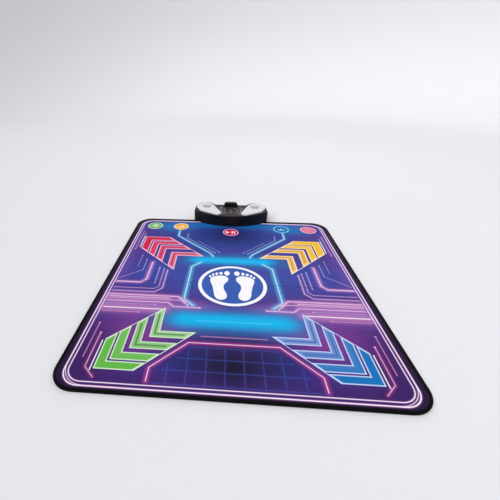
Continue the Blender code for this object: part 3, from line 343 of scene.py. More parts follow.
def upright(outline, near, far, holes=()):
    """A plate stood upright across the mat, from one place along it to another."""
    shape = plate(outline, 0, far - near, holes)
    turn = Matrix.Translation((0, far, 0)) @ Matrix.Rotation(math.radians(90), 4, "X")
    bmesh.ops.transform(shape, verts=shape.verts, matrix=turn)
    return shape


def gather(shapes):
    """Several separate shapes in one."""
    whole = bmesh.new()
    for shape in shapes:
        mesh = bpy.data.meshes.new("gathered")
        shape.to_mesh(mesh)
        shape.free()
        whole.from_mesh(mesh)
        bpy.data.meshes.remove(mesh)
    return whole


def ring_at(outline, level):
    return [(x, y, level) for x, y in outline]


def skin(shape, rings, around=False):
    """Faces between neighbouring rings of equal counts. Gives the points of each ring."""
    rows = [[shape.verts.new(point) for point in ring] for ring in rings]
    pairs = list(zip(rows, rows[1:]))
    if around:
        pairs.append((rows[-1], rows[0]))
    for lower, upper in pairs:
        for index in range(len(lower)):
            shape.faces.new((lower[index - 1], lower[index], upper[index], upper[index - 1]))
    return rows


def loft(rings, around=False, capped=True):
    """A skin over rings of equal counts: capped at both ends, closed round on itself, or left open."""
    shape = bmesh.new()
    rows = skin(shape, rings, around)
    if capped and not around:
        for row in (rows[0], rows[-1]):
            places, triangles = filled([point.co.xy for point in row])
            if len(places) == len(row):
                for triangle in triangles:
                    shape.faces.new([row[corner] for corner in triangle])
            else:
                shape.faces.new(row)
    bmesh.ops.recalc_face_normals(shape, faces=shape.faces)
    return shape


def cut_rows(shape, grid=GRID):
    """Split a flat shape along the crease's rows and a coarse grid, so that waves and the ridge can shape it.
    """
    reach = MAT_WIDTH / 2
    lines = [((0, row, 0), (0, 1, 0)) for row in CREASE_ROWS]
    if grid:
        steps = range(-int(reach / grid), int(reach / grid) + 1)
        lines += [((step * grid, 0, 0), (1, 0, 0)) for step in steps]
        count = int(MAT_LENGTH / 2 / grid)
        rows = [step * grid for step in range(-count, count + 1)]
        lines += [((0, row, 0), (0, 1, 0)) for row in rows if abs(row - CREASE) > grid]
    for place, normal in lines:
        geometry = shape.verts[:] + shape.edges[:] + shape.faces[:]
        bmesh.ops.bisect_plane(shape, geom=geometry, dist=1e-6, plane_co=place, plane_no=normal)
    bmesh.ops.triangulate(shape, faces=shape.faces)
    return shape


def window_loops():
    """The edges of every zone and touch key, which stay level."""
    loops = [zone_outline(name, ARROW_MARGIN) for name in ZONES]
    return loops + [circle(place, KEY_RADIUS) for place in KEYS.values()]


def lift_at(x, y, loops):
    """How far the laid cover stands up: low waves, and a ridge on each side of the crease."""
    near = min(MAT_WIDTH / 2 - abs(x), MAT_LENGTH / 2 - abs(y)) - EDGE_FLAT
    for loop in loops:
        for place in loop[::2]:
            near = min(near, math.dist((x, y), place) - WINDOW_FLAT)
    level = max(0.0, min(1.0, near / WAVE_START))
    level = level * level * (3 - 2 * level)
    wave = noise.noise(Vector((x * 7.0, y * 7.0, 3.1))) + 0.5 * noise.noise(Vector((x * 15, y * 15, 8.4)))
    height, middle, width = RIDGE
    ridge = height * math.exp(-((abs(y - CREASE) - middle) / width) ** 2)
    return level * (WAVE_HEIGHT * max(0.0, wave + WAVE_BIAS) + ridge)


def lifted(shape, loops):
    for point in shape.verts:
        point.co.z += lift_at(point.co.x, point.co.y, loops)
    return shape


def add_piece(name, shape, material, smooth=30):
    """A mesh piece from a shape, with one material and edges sharp above an angle."""
    mesh = bpy.data.meshes.new(name)
    shape.to_mesh(mesh)
    shape.free()
    mesh.materials.append(material)
    mesh.shade_smooth()
    mesh.set_sharp_from_angle(angle=math.radians(smooth))
    layer = mesh.uv_layers.new(name="Flat")
    places = np.zeros(len(mesh.vertices) * 3, np.float32)
    mesh.vertices.foreach_get("co", places)
    corners = np.zeros(len(mesh.loops), np.int32)
    mesh.loops.foreach_get("vertex_index", corners)
    layer.uv.foreach_set("vector", places.reshape(-1, 3)[corners][:, :2].ravel())
    piece = bpy.data.objects.new(name, mesh)
    bpy.context.scene.collection.objects.link(piece)
    return piece


def add_fixed(name, solids, material, body):
    """A piece of separate solids that moves with one body."""
    piece = add_piece(name, gather(solids), material)
    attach(piece, body)


def inked(outlines, level, rise=INK, place=(0, 0)):
    """Flat prints on a face, moved to a place. Each is an outline and then its holes."""
    solids = []
    for loops in outlines:
        outline, *holes = [[(x + place[0], y + place[1]) for x, y in loop] for loop in loops]
        solids.append(plate(outline, level - INK / 2, level + rise, holes))
    return solids


def bend_at_crease(piece):
    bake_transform(piece)


# Materials


def plug(tree, node, inputs):
    """Set or link a node's inputs, given in order or by name. A colour needs no alpha."""
    named = inputs if isinstance(inputs, dict) else dict(enumerate(inputs))
    for name, value in named.items():
        socket = node.inputs[name]
        if isinstance(value, bpy.types.NodeSocket):
            tree.links.new(value, socket)
        else:
            socket.default_value = (*value[:3], 1.0) if socket.type == "RGBA" else value


def add(tree, kind, inputs=(), out=0, **settings):
    """One shader node with its settings and links; gives the output that is wanted."""
    node = tree.nodes.new("ShaderNode" + kind)
    for name, value in settings.items():
        setattr(node, name, value)
    plug(tree, node, inputs)
    return node.outputs[out]


def start_material(name, roughness, metallic=0.0, **settings):
    """A new material, its node tree and its shader."""
    material = bpy.data.materials.new(name)
    material.use_nodes = True
    tree = material.node_tree
    shader = tree.nodes["Principled BSDF"]
    plug(tree, shader, {"Roughness": roughness, "Metallic": metallic})
    plug(tree, shader, {socket.replace("_", " "): value for socket, value in settings.items()})
    return material, tree, shader


def dress(tree, shader, factor, under, over, height, depth, strength=1.0):
    """A base colour mixed from two, and a relief of some depth in metres."""
    plug(tree, shader, {
        "Base Color": add(tree, "Mix", {FACTOR: factor, UNDER: under, OVER: over}, **AS_COLOUR),
        "Normal": add(tree, "Bump", {"Height": height, "Distance": depth, "Strength": strength}),
    })


def mirrored(tree, place):
    """How far out from the mat's middle a point lies, and how far along the mat."""
    split = add(tree, "SeparateXYZ", (place,))
    return add(tree, "Math", (split,), operation="ABSOLUTE"), split.node.outputs[1]


def slot_shade_material():
    """Satin white ABS with painted shade in its sound slots: their walls and a thin rim take a dark colour."""
    material, tree, shader = start_material("ABS_satin_white_slot_shade", 0.42, Specular_IOR_Level=0.35)
    colour = linear("#dedbde")
    place = add(tree, "TexCoord", out="Object")
    cloud = add(tree, "TexNoise", {"Vector": place, "Scale": 60.0, "Detail": 4.0})
    dull = tuple(0.96 * part for part in colour)
    tint = add(tree, "Mix", {FACTOR: cloud, UNDER: dull, OVER: colour}, **AS_COLOUR)
    across, along = mirrored(tree, place)
    across = add(tree, "Math", (across, FAN_PLACE[0]), operation="SUBTRACT")
    along = add(tree, "Math", (along, FAN_PLACE[1]), operation="SUBTRACT")
    turn = add(tree, "Math", (across, along), operation="ARCTAN2")
    pitch = math.radians(FAN_PITCH)
    half_way = add(tree, "Math", (turn, pitch / 2), operation="ADD")
    nearest = add(tree, "Math", (half_way, pitch), operation="SNAP")
    off = add(tree, "Math", (turn, nearest), operation="SUBTRACT")
    away = add(tree, "CombineXYZ", (across, along))
    away = add(tree, "VectorMath", (away,), "Value", operation="LENGTH")
    beside = add(tree, "Math", (away, off), operation="MULTIPLY")
    beside = add(tree, "Math", (beside,), operation="ABSOLUTE")
    narrow = add(tree, "MapRange", (beside, FAN_SLOT / 2, FAN_SLOT / 2 + SLOT_FADE, 1.0, 0.0))
    middle = (FAN_REACH[0] + FAN_REACH[1]) / 2
    within = add(tree, "Math", (away, middle, middle - FAN_REACH[0] + SLOT_FADE), operation="COMPARE")
    wide = add(tree, "Math", (turn,), operation="ABSOLUTE")
    wide = add(tree, "Math", (wide, (FAN_SLOTS / 2) * pitch), operation="LESS_THAN")
    # Painted shade: the sound slots, their walls and a thin rim, take a dark colour
    dark = add(tree, "Math", (narrow, within), operation="MULTIPLY")
    dark = add(tree, "Math", (dark, wide), operation="MULTIPLY")
    fine = add(tree, "TexNoise", {"Vector": place, "Scale": 600.0, "Detail": 3.0})
    dress(tree, shader, dark, tint, linear("#2a282b"), fine, 0.00003)
    return material


def moulded(name, code, roughness, grain, depth, vary=0.12, metallic=0.0, stretch=(1, 1, 1), **settings):
    """A solid material: a base colour that varies a little, and a fine grain in height and gloss."""
    material, tree, shader = start_material(name, roughness, metallic, **settings)
    place = add(tree, "Mapping", {"Vector": add(tree, "TexCoord", out="Object"), "Scale": stretch})
    cloud = add(tree, "TexNoise", {"Vector": place, "Scale": 30.0, "Detail": 4.0})
    fine = add(tree, "TexNoise", {"Vector": place, "Scale": 1 / grain, "Detail": 3.0})
    dark = tuple(part * (1 - vary) for part in linear(code))
    pale = tuple(min(1.0, part * (1 + vary) + vary * 0.01) for part in linear(code))
    tint = add(tree, "Mix", {FACTOR: cloud, UNDER: dark, OVER: pale}, **AS_COLOUR)
    specks = add(tree, "MapRange", (fine, 0.0, 1.0, 0.0, vary))
    gloss = (fine, 0.3, 0.7, max(0.02, roughness * (1 - vary)), min(1.0, roughness * (1 + vary)))
    plug(tree, shader, {"Roughness": add(tree, "MapRange", gloss)})
    dress(tree, shader, specks, tint, dark, fine, depth)
    return material


def weave_height(tree, place, thread):
    """Over and under threads of a plain weave, as a height from 0 to 1."""
    rows = []
    for direction in ("X", "Y"):
        inputs = {"Vector": place, "Scale": WAVE_PERIOD / thread, "Distortion": 0.0}
        rows.append(add(tree, "TexWave", inputs, "Fac", wave_type="BANDS", bands_direction=direction))
    return add(tree, "Math", rows, operation="MULTIPLY")


def box_distance(tree, point, centre, half):
    """How far a point lies outside a box; 0 inside it."""
    away = add(tree, "VectorMath", (point, (*centre, 0)), operation="SUBTRACT")
    away = add(tree, "VectorMath", (away,), operation="ABSOLUTE")
    away = add(tree, "VectorMath", (away, (*half, 0)), operation="SUBTRACT")
    away = add(tree, "VectorMath", (away, (0, 0, 0)), operation="MAXIMUM")
    return add(tree, "VectorMath", (away,), "Value", operation="LENGTH")


def line_distance(tree, point, start, end):
    """How far a point lies from a straight line between two places."""
    length = math.dist(start, end)
    heading = ((end[0] - start[0]) / length, (end[1] - start[1]) / length, 0)
    away = add(tree, "VectorMath", (point, (*start, 0)), operation="SUBTRACT")
    along = add(tree, "VectorMath", (away, heading), "Value", operation="DOT_PRODUCT")
    along = add(tree, "Clamp", (along, 0.0, length))
    foot = add(tree, "VectorMath", {0: heading, "Scale": along}, operation="SCALE")
    return add(tree, "VectorMath", (away, foot), "Value", operation="DISTANCE")


def path_distance(tree, point, paths):
    """How far a point lies from the nearest of some bent lines, which are given in mm."""
    nearest = None
    for places in paths:
        for start, end in zip(places, places[1:]):
            distance = line_distance(tree, point, metres(start), metres(end))
            if nearest:
                distance = add(tree, "Math", (nearest, distance), operation="MINIMUM")
            nearest = distance
    return nearest


def painted(tree, colour, distance, reach, ink, strength, core=0.0):
    """Ink laid over a colour, full within a core and fading out to a reach."""
    fade = (distance, core, reach, strength, 0.0)
    factor = add(tree, "MapRange", fade, interpolation_type="SMOOTHSTEP")
    return add(tree, "Mix", {FACTOR: factor, UNDER: colour, OVER: ink}, **AS_COLOUR)


def finish_cloth(tree, shader, flat, colour, grit_scale, darkest, palest, depth):
    """Grit in the ink, a plain weave, and broad, soft handling marks in height and gloss."""
    grit = add(tree, "TexNoise", {"Vector": flat, "Scale": grit_scale, "Detail": 2.0})
    grit = add(tree, "MapRange", (grit, 0.3, 0.7, darkest, palest))
    weave = weave_height(tree, flat, CLOTH_THREAD)
    marks = add(tree, "TexNoise", {"Vector": flat, "Scale": 14.0, "Detail": 3.0, "Distortion": 0.6})
    broad = add(tree, "Bump", {"Height": marks, "Distance": 0.0020, "Strength": 0.35})
    shade = {FACTOR: 1.0, UNDER: colour, OVER: grit}
    plug(tree, shader, {
        "Base Color": add(tree, "Mix", shade, blend_type="MULTIPLY", **AS_COLOUR),
        "Roughness": add(tree, "MapRange", (marks, 0.35, 0.65, 0.50, 0.62)),
        "Normal": add(tree, "Bump", {"Height": weave, "Distance": depth, "Strength": 0.6, "Normal": broad}),
    })


# The printed picture, mirrored about the mat's middle, in mm

# Soft pools of colour: centre, reach across and along, ink and strength
POOLS = [
    ((0, 340), (520, 300), "rear_blue", 0.95),
    ((450, 220), (100, 340), "lilac", 0.70),
    ((0, 330), (260, 150), "rear_navy", 0.95),
    ((270, 415), (150, 85), "key_blue", 0.95),
    ((130, 440), (220, 55), "key_blue", 0.85),
    ((270, 20), (250, 190), "middle_blue", 0.90),
    ((60, -30), (220, 150), "ring_blue", 0.80),
    ((420, 0), (70, 220), "lilac", 0.45),
    ((330, -175), (300, 85), "haze", 0.90),
    ((160, -180), (200, 50), "haze", 0.60),
    ((260, -300), (220, 130), "magenta", 0.75),
    ((420, -360), (160, 180), "plum", 0.90),
    ((0, -310), (240, 50), "plum", 0.70),
    ((130, -390), (140, 130), "front_blue", 0.85),
    ((0, -405), (200, 150), "navy", 0.98),
    ((280, -475), (400, 70), "plum", 0.80),
    ((390, -450), (130, 120), "plum", 0.90),
]
# Glowing bars: centre, half width and half depth, reach of the glow, ink and strength
BARS = [
    ((0, -236), (138, 4), 90, "deep_cyan", 0.80),
    ((0, -236), (136, 2), 48, "cyan", 1.0),
    ((0, 112), (120, 2), 80, "deep_cyan", 0.80),
    ((0, 112), (118, 1), 38, "cyan", 1.0),
    ((0, -240), (110, 0.4), 4, "pale_cyan", 0.5),
]
# Widths are drawn in by this share for a bar's glow, so that it reaches further past the bar's ends
BAR_END = 0.55
# Glowing paths: points, half width, reach of the glow, ink and strength
PATHS = [
    # The frame beside the ring
    ([(118, 94), (150, 62), (158, -138), (126, -170)], 1.2, 17, "pale_cyan", 1.0),
    # Beside the rear zones, out to the keys
    ([(72, 140), (84, 166), (234, 316), (234, 374)], 1.0, 12, "pale_cyan", 1.0),
    ([(66, 172), (192, 298), (192, 340)], 0.5, 6, "sky", 0.6),
    ([(48, 178), (140, 270)], 0.4, 5, "sky", 0.4),
    ([(385, 225), (385, 330)], 0.4, 6, "lilac", 0.6),
    ([(398, 180), (398, 350)], 0.5, 7, "pink", 0.4),
    # Upright lines at the sides
    ([(238, 26), (238, -85), (262, -109), (405, -109)], 0.6, 8, "pink", 0.7),
    ([(252, 38), (252, -76), (266, -90), (405, -90)], 0.5, 6, "pink", 0.5),
    ([(304, 82), (304, -37), (322, -55), (405, -55)], 1.2, 16, "pink", 1.0),
    ([(330, 100), (330, 25), (405, -35)], 0.4, 6, "lilac", 0.7),
    ([(355, 130), (355, 45)], 0.4, 5, "lilac", 0.5),
    ([(270, 46), (270, -58)], 0.4, 6, "pink", 0.5),
    # Level lines behind the front zones
    ([(150, -157), (178, -129), (405, -129)], 1.2, 15, "pink", 1.0),
    ([(142, -172), (166, -148), (405, -148)], 0.6, 8, "pink", 0.7),
    ([(104, -181), (186, -181), (205, -162), (405, -162)], 0.8, 11, "pink", 0.85),
    ([(215, -196), (405, -196)], 2.5, 34, "glow_pink", 0.95),
    ([(205, -140), (405, -140)], 1.5, 26, "glow_pink", 0.70),
    # A fine line beside the outer arrow of each zone
    ([(382.8, 304), (382.8, 200)], 1.1, 3, "line_white", 0.80),
    ([(360.4, -440), (360.4, -339)], 1.1, 3, "line_white", 0.80),
    ([(245, -176), (405, -176)], 0.4, 6, "lilac", 0.6),
    ([(290, -215), (405, -215)], 0.4, 7, "rose", 0.5),
    # The front: bright lines, and a faint grid under them
    ([(0, -330), (123, -330), (214, -421), (214, -462)], 0.9, 13, "rose", 1.0),
    ([(0, -304), (92, -304)], 0.4, 6, "rose", 0.5),
    ([(375, -310), (375, -430), (345, -460)], 0.6, 9, "rose", 0.7),
    ([(392, -270), (392, -400)], 0.4, 6, "rose", 0.5),
]
GRID_PATHS = [[(24 + 48 * k, -346 - max(0, 48 * k - 82)), (24 + 48 * k, -468)] for k in range(4)]
GRID_PATHS += [[(0, -346 - 40 * k), (116 + 32 * k, -346 - 40 * k)] for k in range(4)]
# Border lines: the frame's half width, front edge, rear edge and corner radius, then the line's half width,
# glow and strength. The third runs beside the first and parts from it at the corners
FRAMES = [
    (423.5, -486, 474.5, 50, 1.2, 6, 1.0),
    (413.5, -474.5, 471.5, 43, 1.0, 5, 0.9),
    (422.6, -485, 476.5, 62, 0.5, 3, 0.75),
]
# Where the dark margin starts to turn black, and where it is black: at the sides and at the rear, in metres
MARGIN_SIDES = (MAT_WIDTH / 2 - 0.0150, MAT_WIDTH / 2 - 0.0085)
MARGIN_REAR = (0.4780, 0.4825)
# A line is full within this share of its half width, and fades out this many mm beyond it
LINE_CORE = 0.6
LINE_FADE = 0.9
# Paths of a smaller half width start from a round dot
DOT_LIMIT = 0.9
# How much of the pale ink shows at the inner end of a zone
PALE_SHARE = 0.95


def print_material(inks):
    """Polyester cloth with a printed, laminated face: half matt ink that follows a fine plain weave."""
    material, tree, shader = start_material("Printed_polyester_laminate", 0.56, Specular_IOR_Level=0.12)
    flat = add(tree, "UVMap", uv_map="Flat")
    across, along = mirrored(tree, flat)
    point = add(tree, "CombineXYZ", (across, along))
    cloud = add(tree, "TexNoise", {"Vector": flat, "Scale": 9.0, "Detail": 4.0})
    colour = add(tree, "Mix", {FACTOR: cloud, UNDER: inks["dark"], OVER: inks["violet"]}, **AS_COLOUR)
    for centre, reach, ink, strength in POOLS:
        scale = (1 / MM / reach[0], 1 / MM / reach[1], 0)
        offset = (-centre[0] / reach[0], -centre[1] / reach[1], 0)
        away = add(tree, "VectorMath", (point, scale, offset), operation="MULTIPLY_ADD")
        away = add(tree, "VectorMath", (away,), "Value", operation="LENGTH")
        colour = painted(tree, colour, away, 1.0, inks[ink], strength)
    drawn_in = add(tree, "VectorMath", (point, (BAR_END, 1, 1)), operation="MULTIPLY")
    for centre, half, reach, ink, strength in BARS:
        distance = box_distance(tree, drawn_in, metres(centre), metres((BAR_END * half[0], half[1])))
        colour = painted(tree, colour, distance, reach * MM, inks[ink], strength)
    faint = path_distance(tree, point, GRID_PATHS)
    colour = painted(tree, colour, faint, 6 * MM, inks["line"], 0.10)
    colour = painted(tree, colour, faint, 1.2 * MM, inks["line"], 0.32, 0.2 * MM)
    for places, half, glow, ink, strength in PATHS:
        distance = path_distance(tree, point, [places])
        colour = painted(tree, colour, distance, glow * MM, inks[ink], 0.60 * strength)
        pale = tuple(0.35 * part + 0.65 for part in inks[ink])
        reach, core = metres((half + LINE_FADE, half * LINE_CORE))
        colour = painted(tree, colour, distance, reach, pale, strength, core)
        if half < DOT_LIMIT and places[0][0] > 0:
            dot = metres((*places[0], 0))
            away = add(tree, "VectorMath", (point, dot), "Value", operation="DISTANCE")
            colour = painted(tree, colour, away, 3.4 * MM, pale, strength, 2.2 * MM)
    # Painted shade along the crease: a thin dark line along the fold of the mat
    away = add(tree, "Math", (along, CREASE), operation="SUBTRACT")
    away = add(tree, "Math", (away,), operation="ABSOLUTE")
    colour = painted(tree, colour, away, 3.0 * MM, inks["navy"], 0.45, 0.4 * MM)
    for number, (half_x, low, high, radius, half, glow, strength) in enumerate(FRAMES):
        straight = metres((half_x - radius, (high - low) / 2 - radius))
        distance = box_distance(tree, point, metres((0, (low + high) / 2)), straight)
        distance = add(tree, "Math", (distance, radius * MM), operation="SUBTRACT")
        if number == 0:
            colour = painted(tree, colour, distance, 0.0, inks["margin"], 1.0, 4 * MM)
        distance = add(tree, "Math", (distance,), operation="ABSOLUTE")
        colour = painted(tree, colour, distance, glow * MM, inks["pink"], 0.30 * strength)
        reach, core = metres((half + LINE_FADE, half * LINE_CORE))
        colour = painted(tree, colour, distance, reach, inks["line_white"], strength, core)
    for place, start, full in ((across, *MARGIN_SIDES), (along, *MARGIN_REAR)):
        share = add(tree, "MapRange", (place, start, full), interpolation_type="SMOOTHSTEP")
        colour = add(tree, "Mix", {FACTOR: share, UNDER: colour, OVER: inks["black"]}, **AS_COLOUR)
    finish_cloth(tree, shader, flat, colour, 520.0, 0.86, 1.12, 0.00006)
    return material


def ink_material(name, colour, pale=None, corner=None, run=0.0):
    """Screen ink on the laminate: opaque, and paler towards the middle arrows where a pale ink is given."""
    material, tree, shader = start_material("Screen_ink_" + name, 0.55, Specular_IOR_Level=0.15)
    flat = add(tree, "UVMap", uv_map="Flat")
    if pale:
        across, along = mirrored(tree, flat)
        sideways = add(tree, "Math", (corner[0], across), operation="SUBTRACT")
        inwards = add(tree, "Math", (corner[1], along), operation="SUBTRACT")
        inwards = add(tree, "Math", (inwards,), operation="ABSOLUTE")
        depth = add(tree, "Math", (sideways, inwards), operation="MINIMUM")
        factor = add(tree, "MapRange", (depth, 0.2 * run, run, 0.0, PALE_SHARE))
        colour = add(tree, "Mix", {FACTOR: factor, UNDER: colour, OVER: pale}, **AS_COLOUR)
    finish_cloth(tree, shader, flat, colour, 420.0, 0.93, 1.05, 0.00004)
    return material


def tape_material(colour):
    """Woven polyester tape: ribs across its run, dull and black."""
    material, tree, shader = start_material("Woven_polyester_tape", 0.75, Specular_IOR_Level=0.06)
    place = add(tree, "TexCoord", out="Object")
    fibres = add(tree, "TexNoise", {"Vector": place, "Scale": 900.0, "Detail": 3.0})
    cloud = add(tree, "TexNoise", {"Vector": place, "Scale": 35.0, "Detail": 3.0})
    pale = tuple(part * 1.8 + 0.001 for part in colour)
    height = add(tree, "Math", (weave_height(tree, place, TAPE_THREAD), fibres), operation="ADD")
    dress(tree, shader, cloud, colour, pale, height, 0.00012, 0.7)
    return material


def dotted_material(colour):
    """Rubbered backing cloth with raised grip dots, 3 mm wide and 8 mm apart."""
    material, tree, shader = start_material("Dotted_rubber_backing", 0.85)
    flat = add(tree, "UVMap", uv_map="Flat")
    dots = {"Vector": flat, "Scale": 1 / DOT_PITCH, "Randomness": 0.0}
    dots = add(tree, "TexVoronoi", dots, "Distance", voronoi_dimensions="2D")
    height = add(tree, "MapRange", (dots, 0.17, 0.21, 1.0, 0.0))
    pale = tuple(part * 1.7 for part in colour)
    dress(tree, shader, height, colour, pale, height, 0.0004)
    return material


def smoked_material():
    """Smoked acrylic: what is behind it shows darkened, under a glossy face."""
    material, tree, shader = start_material("Acrylic_smoked", 0.04, Transmission_Weight=0.75, IOR=1.49)
    colour = linear("#2a2426")
    place = add(tree, "TexCoord", out="Object")
    cloud = add(tree, "TexNoise", {"Vector": place, "Scale": 90.0, "Detail": 3.0})
    pale = tuple(part * 1.1 for part in colour)
    tint = add(tree, "Mix", {FACTOR: cloud, UNDER: colour, OVER: pale}, **AS_COLOUR)
    plug(tree, shader, {"Base Color": tint})
    return material


MADE = {}


def finish(name):
    """A finish from the catalogue below, made once."""
    if name not in MADE:
        MADE[name] = CATALOGUE[name]()
    return MADE[name]


# What each finish is made of: its colour, its roughness, the grain's size and depth in metres, and how far
# its colour and gloss vary
CATALOGUE = {
    # The grain breaks up the gloss of the black shell
    "abs_black": lambda: moulded("ABS_spark_textured", "#090808", 0.42, 0.0011, 0.00005,
                                 Specular_IOR_Level=0.3),
    # The hood reflects the room
    "abs_gloss": lambda: moulded("ABS_polished", "#0b0a0b", 0.16, 0.0040, 0.00001, Coat_Weight=0.3),
    # Satin, and a little uneven as white mouldings are
    "abs_white": lambda: moulded("ABS_satin_white", "#ebe8ee", 0.38, 0.0016, 0.00003, 0.03),
    # The same white with painted shade in the sound slots
    "abs_slot_shade": slot_shade_material,
    # Dull, with a fine fleck
    "panel": lambda: moulded("Polycarbonate_film_textured", "#2c2622", 0.5, 0.0009, 0.00004, 0.35,
                             Specular_IOR_Level=0.3),
    # Soft to the touch, so dull
    "keys": lambda: moulded("Silicone_moulded", "#4a4440", 0.6, 0.0012, 0.00002, 0.06),
    # Flat white marks
    "key_ink": lambda: moulded("Pad_print_ink", "#f1eef2", 0.5, 0.0010, 0.00001, 0.04),
    # Matt, with a coarse grain that takes no highlight
    "rubber": lambda: moulded("Rubber_moulded", "#191719", 0.85, 0.0014, 0.00008, 0.2),
    # Plain black mouldings that catch little light
    "inner_black": lambda: moulded("ABS_unpolished", "#131213", 0.6, 0.0020, 0.00004),
    # Bright grey metal, slightly clouded by its plating
    "steel": lambda: moulded("Steel_zinc_plated", "#b9bcc2", 0.32, 0.0012, 0.00002, 0.08, 1.0),
    # Duller metal, mottled by the press
    "pressed_steel": lambda: moulded("Steel_pressed", "#8f9297", 0.42, 0.0020, 0.00003, 0.1, 1.0),
    # Pale gold metal with a soft shine
    "brass": lambda: moulded("Brass_nickel_plated", "#d5c489", 0.28, 0.0015, 0.00002, 0.08, 1.0),
    # Fibrous and dull black
    "paper": lambda: moulded("Paper_cone_pressed", "#171516", 0.8, 0.0009, 0.00010, 0.25),
    # Green, with the half gloss of lacquer
    "board": lambda: moulded("Fibreglass_board_lacquered", "#1d5a2e", 0.4, 0.0030, 0.00002, 0.2),
    # A tight, smooth sleeve with a soft shine
    "cell": lambda: moulded("Shrink_sleeve_satin", "#2d6d8f", 0.35, 0.0040, 0.00001, 0.1),
    # Thin, smooth and nearly black
    "film": lambda: moulded("Polyester_film_carbon_printed", "#1d1d20", 0.5, 0.0050, 0.00001, 0.06),
    # Silvery, streaked along its tracks
    "tail": lambda: moulded("Polyester_film_silver_tracks", "#b7bab8", 0.35, 0.0008, 0.00002, 0.25,
                            stretch=(6, 0.4, 1)),
    # Fibrous, without any shine
    "spacer": lambda: moulded("Nonwoven_felt", "#1b1b1d", 0.9, 0.0010, 0.00020, 0.12),
    # Fine closed cells, without any shine
    "foam": lambda: moulded("EVA_foam_closed_cell", "#1f1f22", 0.9, 0.0016, 0.00020, 0.1),
    # A plain dark face behind the smoked window
    "module": lambda: moulded("Phenolic_case", "#1b1a1c", 0.5, 0.0010, 0.00002, 0.15),
    "smoked": smoked_material,
    # Fine fibres, a shade paler than the tape they hold
    "thread": lambda: moulded("Polyester_thread", "#19181a", 0.7, 0.0004, 0.00006, 0.3),
    # Opaque white on the weave
    "white_ink": lambda: ink_material("white", linear("#f7f5f8")),
}

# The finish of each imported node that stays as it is, by the start of its name
NODE_FINISHES = [
    ("lower_contact_film", "film"), ("upper_contact_film", "film"), ("spacer", "spacer"),
    ("membrane_tail", "tail"), ("clamp_bar", "inner_black"), ("case_screw", "steel"),
    ("console_base", "abs_black"), ("console_top", "abs_black"), ("rubber_foot", "rubber"),
    ("speaker_pod", "abs_slot_shade"), ("speaker_driver", "pressed_steel"), ("speaker_cone", "paper"),
    ("battery_contacts", "brass"), ("control_panel", "panel"), ("console_key", "keys"),
    ("main_board", "board"),
    ("display_hood", "abs_gloss"), ("display_window", "smoked"), ("display_module", "module"),
    ("power_switch_body", "pressed_steel"), ("power_switch_knob", "abs_white"),
    ("audio_socket", "inner_black"),
    ("battery_box", "inner_black"), ("battery_door", "abs_black"), ("battery_", "steel"),
]


# Sizes and colours that a user can change

# First value in mm, and use
SIZES = {
    "tape_width": (7.5, "Width of the edge tape on the top face"),
    "tape_rise": (0.6, "How far the tape stands above the cover"),
    "stitch_pitch": (4.6, "From one stitch to the next"),
    "stitch_length": (3.3, "Length of one stitch"),
    "stitch_inset": (5.6, "From the mat's edge to the seam"),
}
# First colour and use
INKS = {
    "dark": ("#38226c", "Darkest ground ink"),
    "violet": ("#543795", "Ground ink"),
    "lilac": ("#7450a8", "Ground ink and fine lines towards the sides"),
    "rear_blue": ("#1a469e", "Ground ink of the rear half"),
    "rear_navy": ("#1d1b58", "Dark ink in front of the console"),
    "key_blue": ("#0b70b4", "Bright ink behind the keys"),
    "middle_blue": ("#3449a2", "Ground ink beside the ring"),
    "ring_blue": ("#3359ab", "Ground ink round and inside the ring"),
    "haze": ("#9560ae", "Soft ink behind the front zones"),
    "magenta": ("#87398f", "Soft ink under the front zones"),
    "plum": ("#3a1c5e", "Dark ink at the front"),
    "navy": ("#14102e", "Darkest ink at the front"),
    "front_blue": ("#242a70", "Ink beside the darkest part"),
    "glow_pink": ("#c583bd", "Broad glow of the level lines"),
    "cyan": ("#06b2e8", "Heart of the glowing bars"),
    "deep_cyan": ("#0b79bd", "Outer glow of the bars"),
    "pale_cyan": ("#56c4ee", "Glow of the cyan lines"),
    "sky": ("#4f8fdc", "Fine lines in front of the console"),
    "pink": ("#d98ccf", "Glow of the border and side lines"),
    "rose": ("#c23b98", "Glow of the front line"),
    "line": ("#4a63d0", "Faint grid at the front"),
    "line_white": ("#fdeefb", "Heart of the border lines"),
    "margin": ("#26103a", "Dark ink outside the border lines"),
    "black": ("#08070b", "Margin at the sides"),
    "tape": ("#050506", "Edge tape"),
    "backing": ("#1a191c", "Grip cloth under the mat"),
}
# Full ink, paler ink towards the middle, outline, heart of the inner arrows
ZONE_INKS = {
    "red": ("#cf1748", "#e27c9b", "#f4bcd3", "#c22a5a"),
    "yellow": ("#efb81f", "#f2c077", "#f9e3bf", "#cf9b4d"),
    "green": ("#62b545", "#a9cf9b", "#cfe6c4", "#5c8f5a"),
    "blue": ("#0b6fb6", "#869bd6", "#bccdf0", "#4c6fb4"),
}
# Disc, rim and sign
KEY_INKS = {
    "green": ("#52a043", "#d4ecd3", "#bfe0b2"),
    "orange": ("#f2a93a", "#f9e8cc", "#fbeccd"),
    "play": ("#c80f44", "#f3b9d6", "#fdeef5"),
    "blue": ("#155ea8", "#7fdcf5", "#8fe0f6"),
    "red": ("#cf1f56", "#f4cfe2", "#f0b7d0"),
}


def label_of(name):
    return name.replace("_", " ").capitalize()


def length_property(name, millimetres, use):
    return FloatProperty(name=label_of(name), description=use, default=millimetres * MM, min=0, unit="LENGTH")


def colour_property(name, code, use):
    return FloatVectorProperty(
        name=label_of(name), description=use, default=linear(code), min=0, max=1, size=3, subtype="COLOR"
    )


class MatSizes(bpy.types.PropertyGroup):
    """Sizes of the taped edge and its seam."""

    __annotations__ = {name: length_property(name, *row) for name, row in SIZES.items()}


class MatColours(bpy.types.PropertyGroup):
    """Inks of the printed cover and the colours of the edge and the back."""

    __annotations__ = {name: colour_property(name, *row) for name, row in INKS.items()}


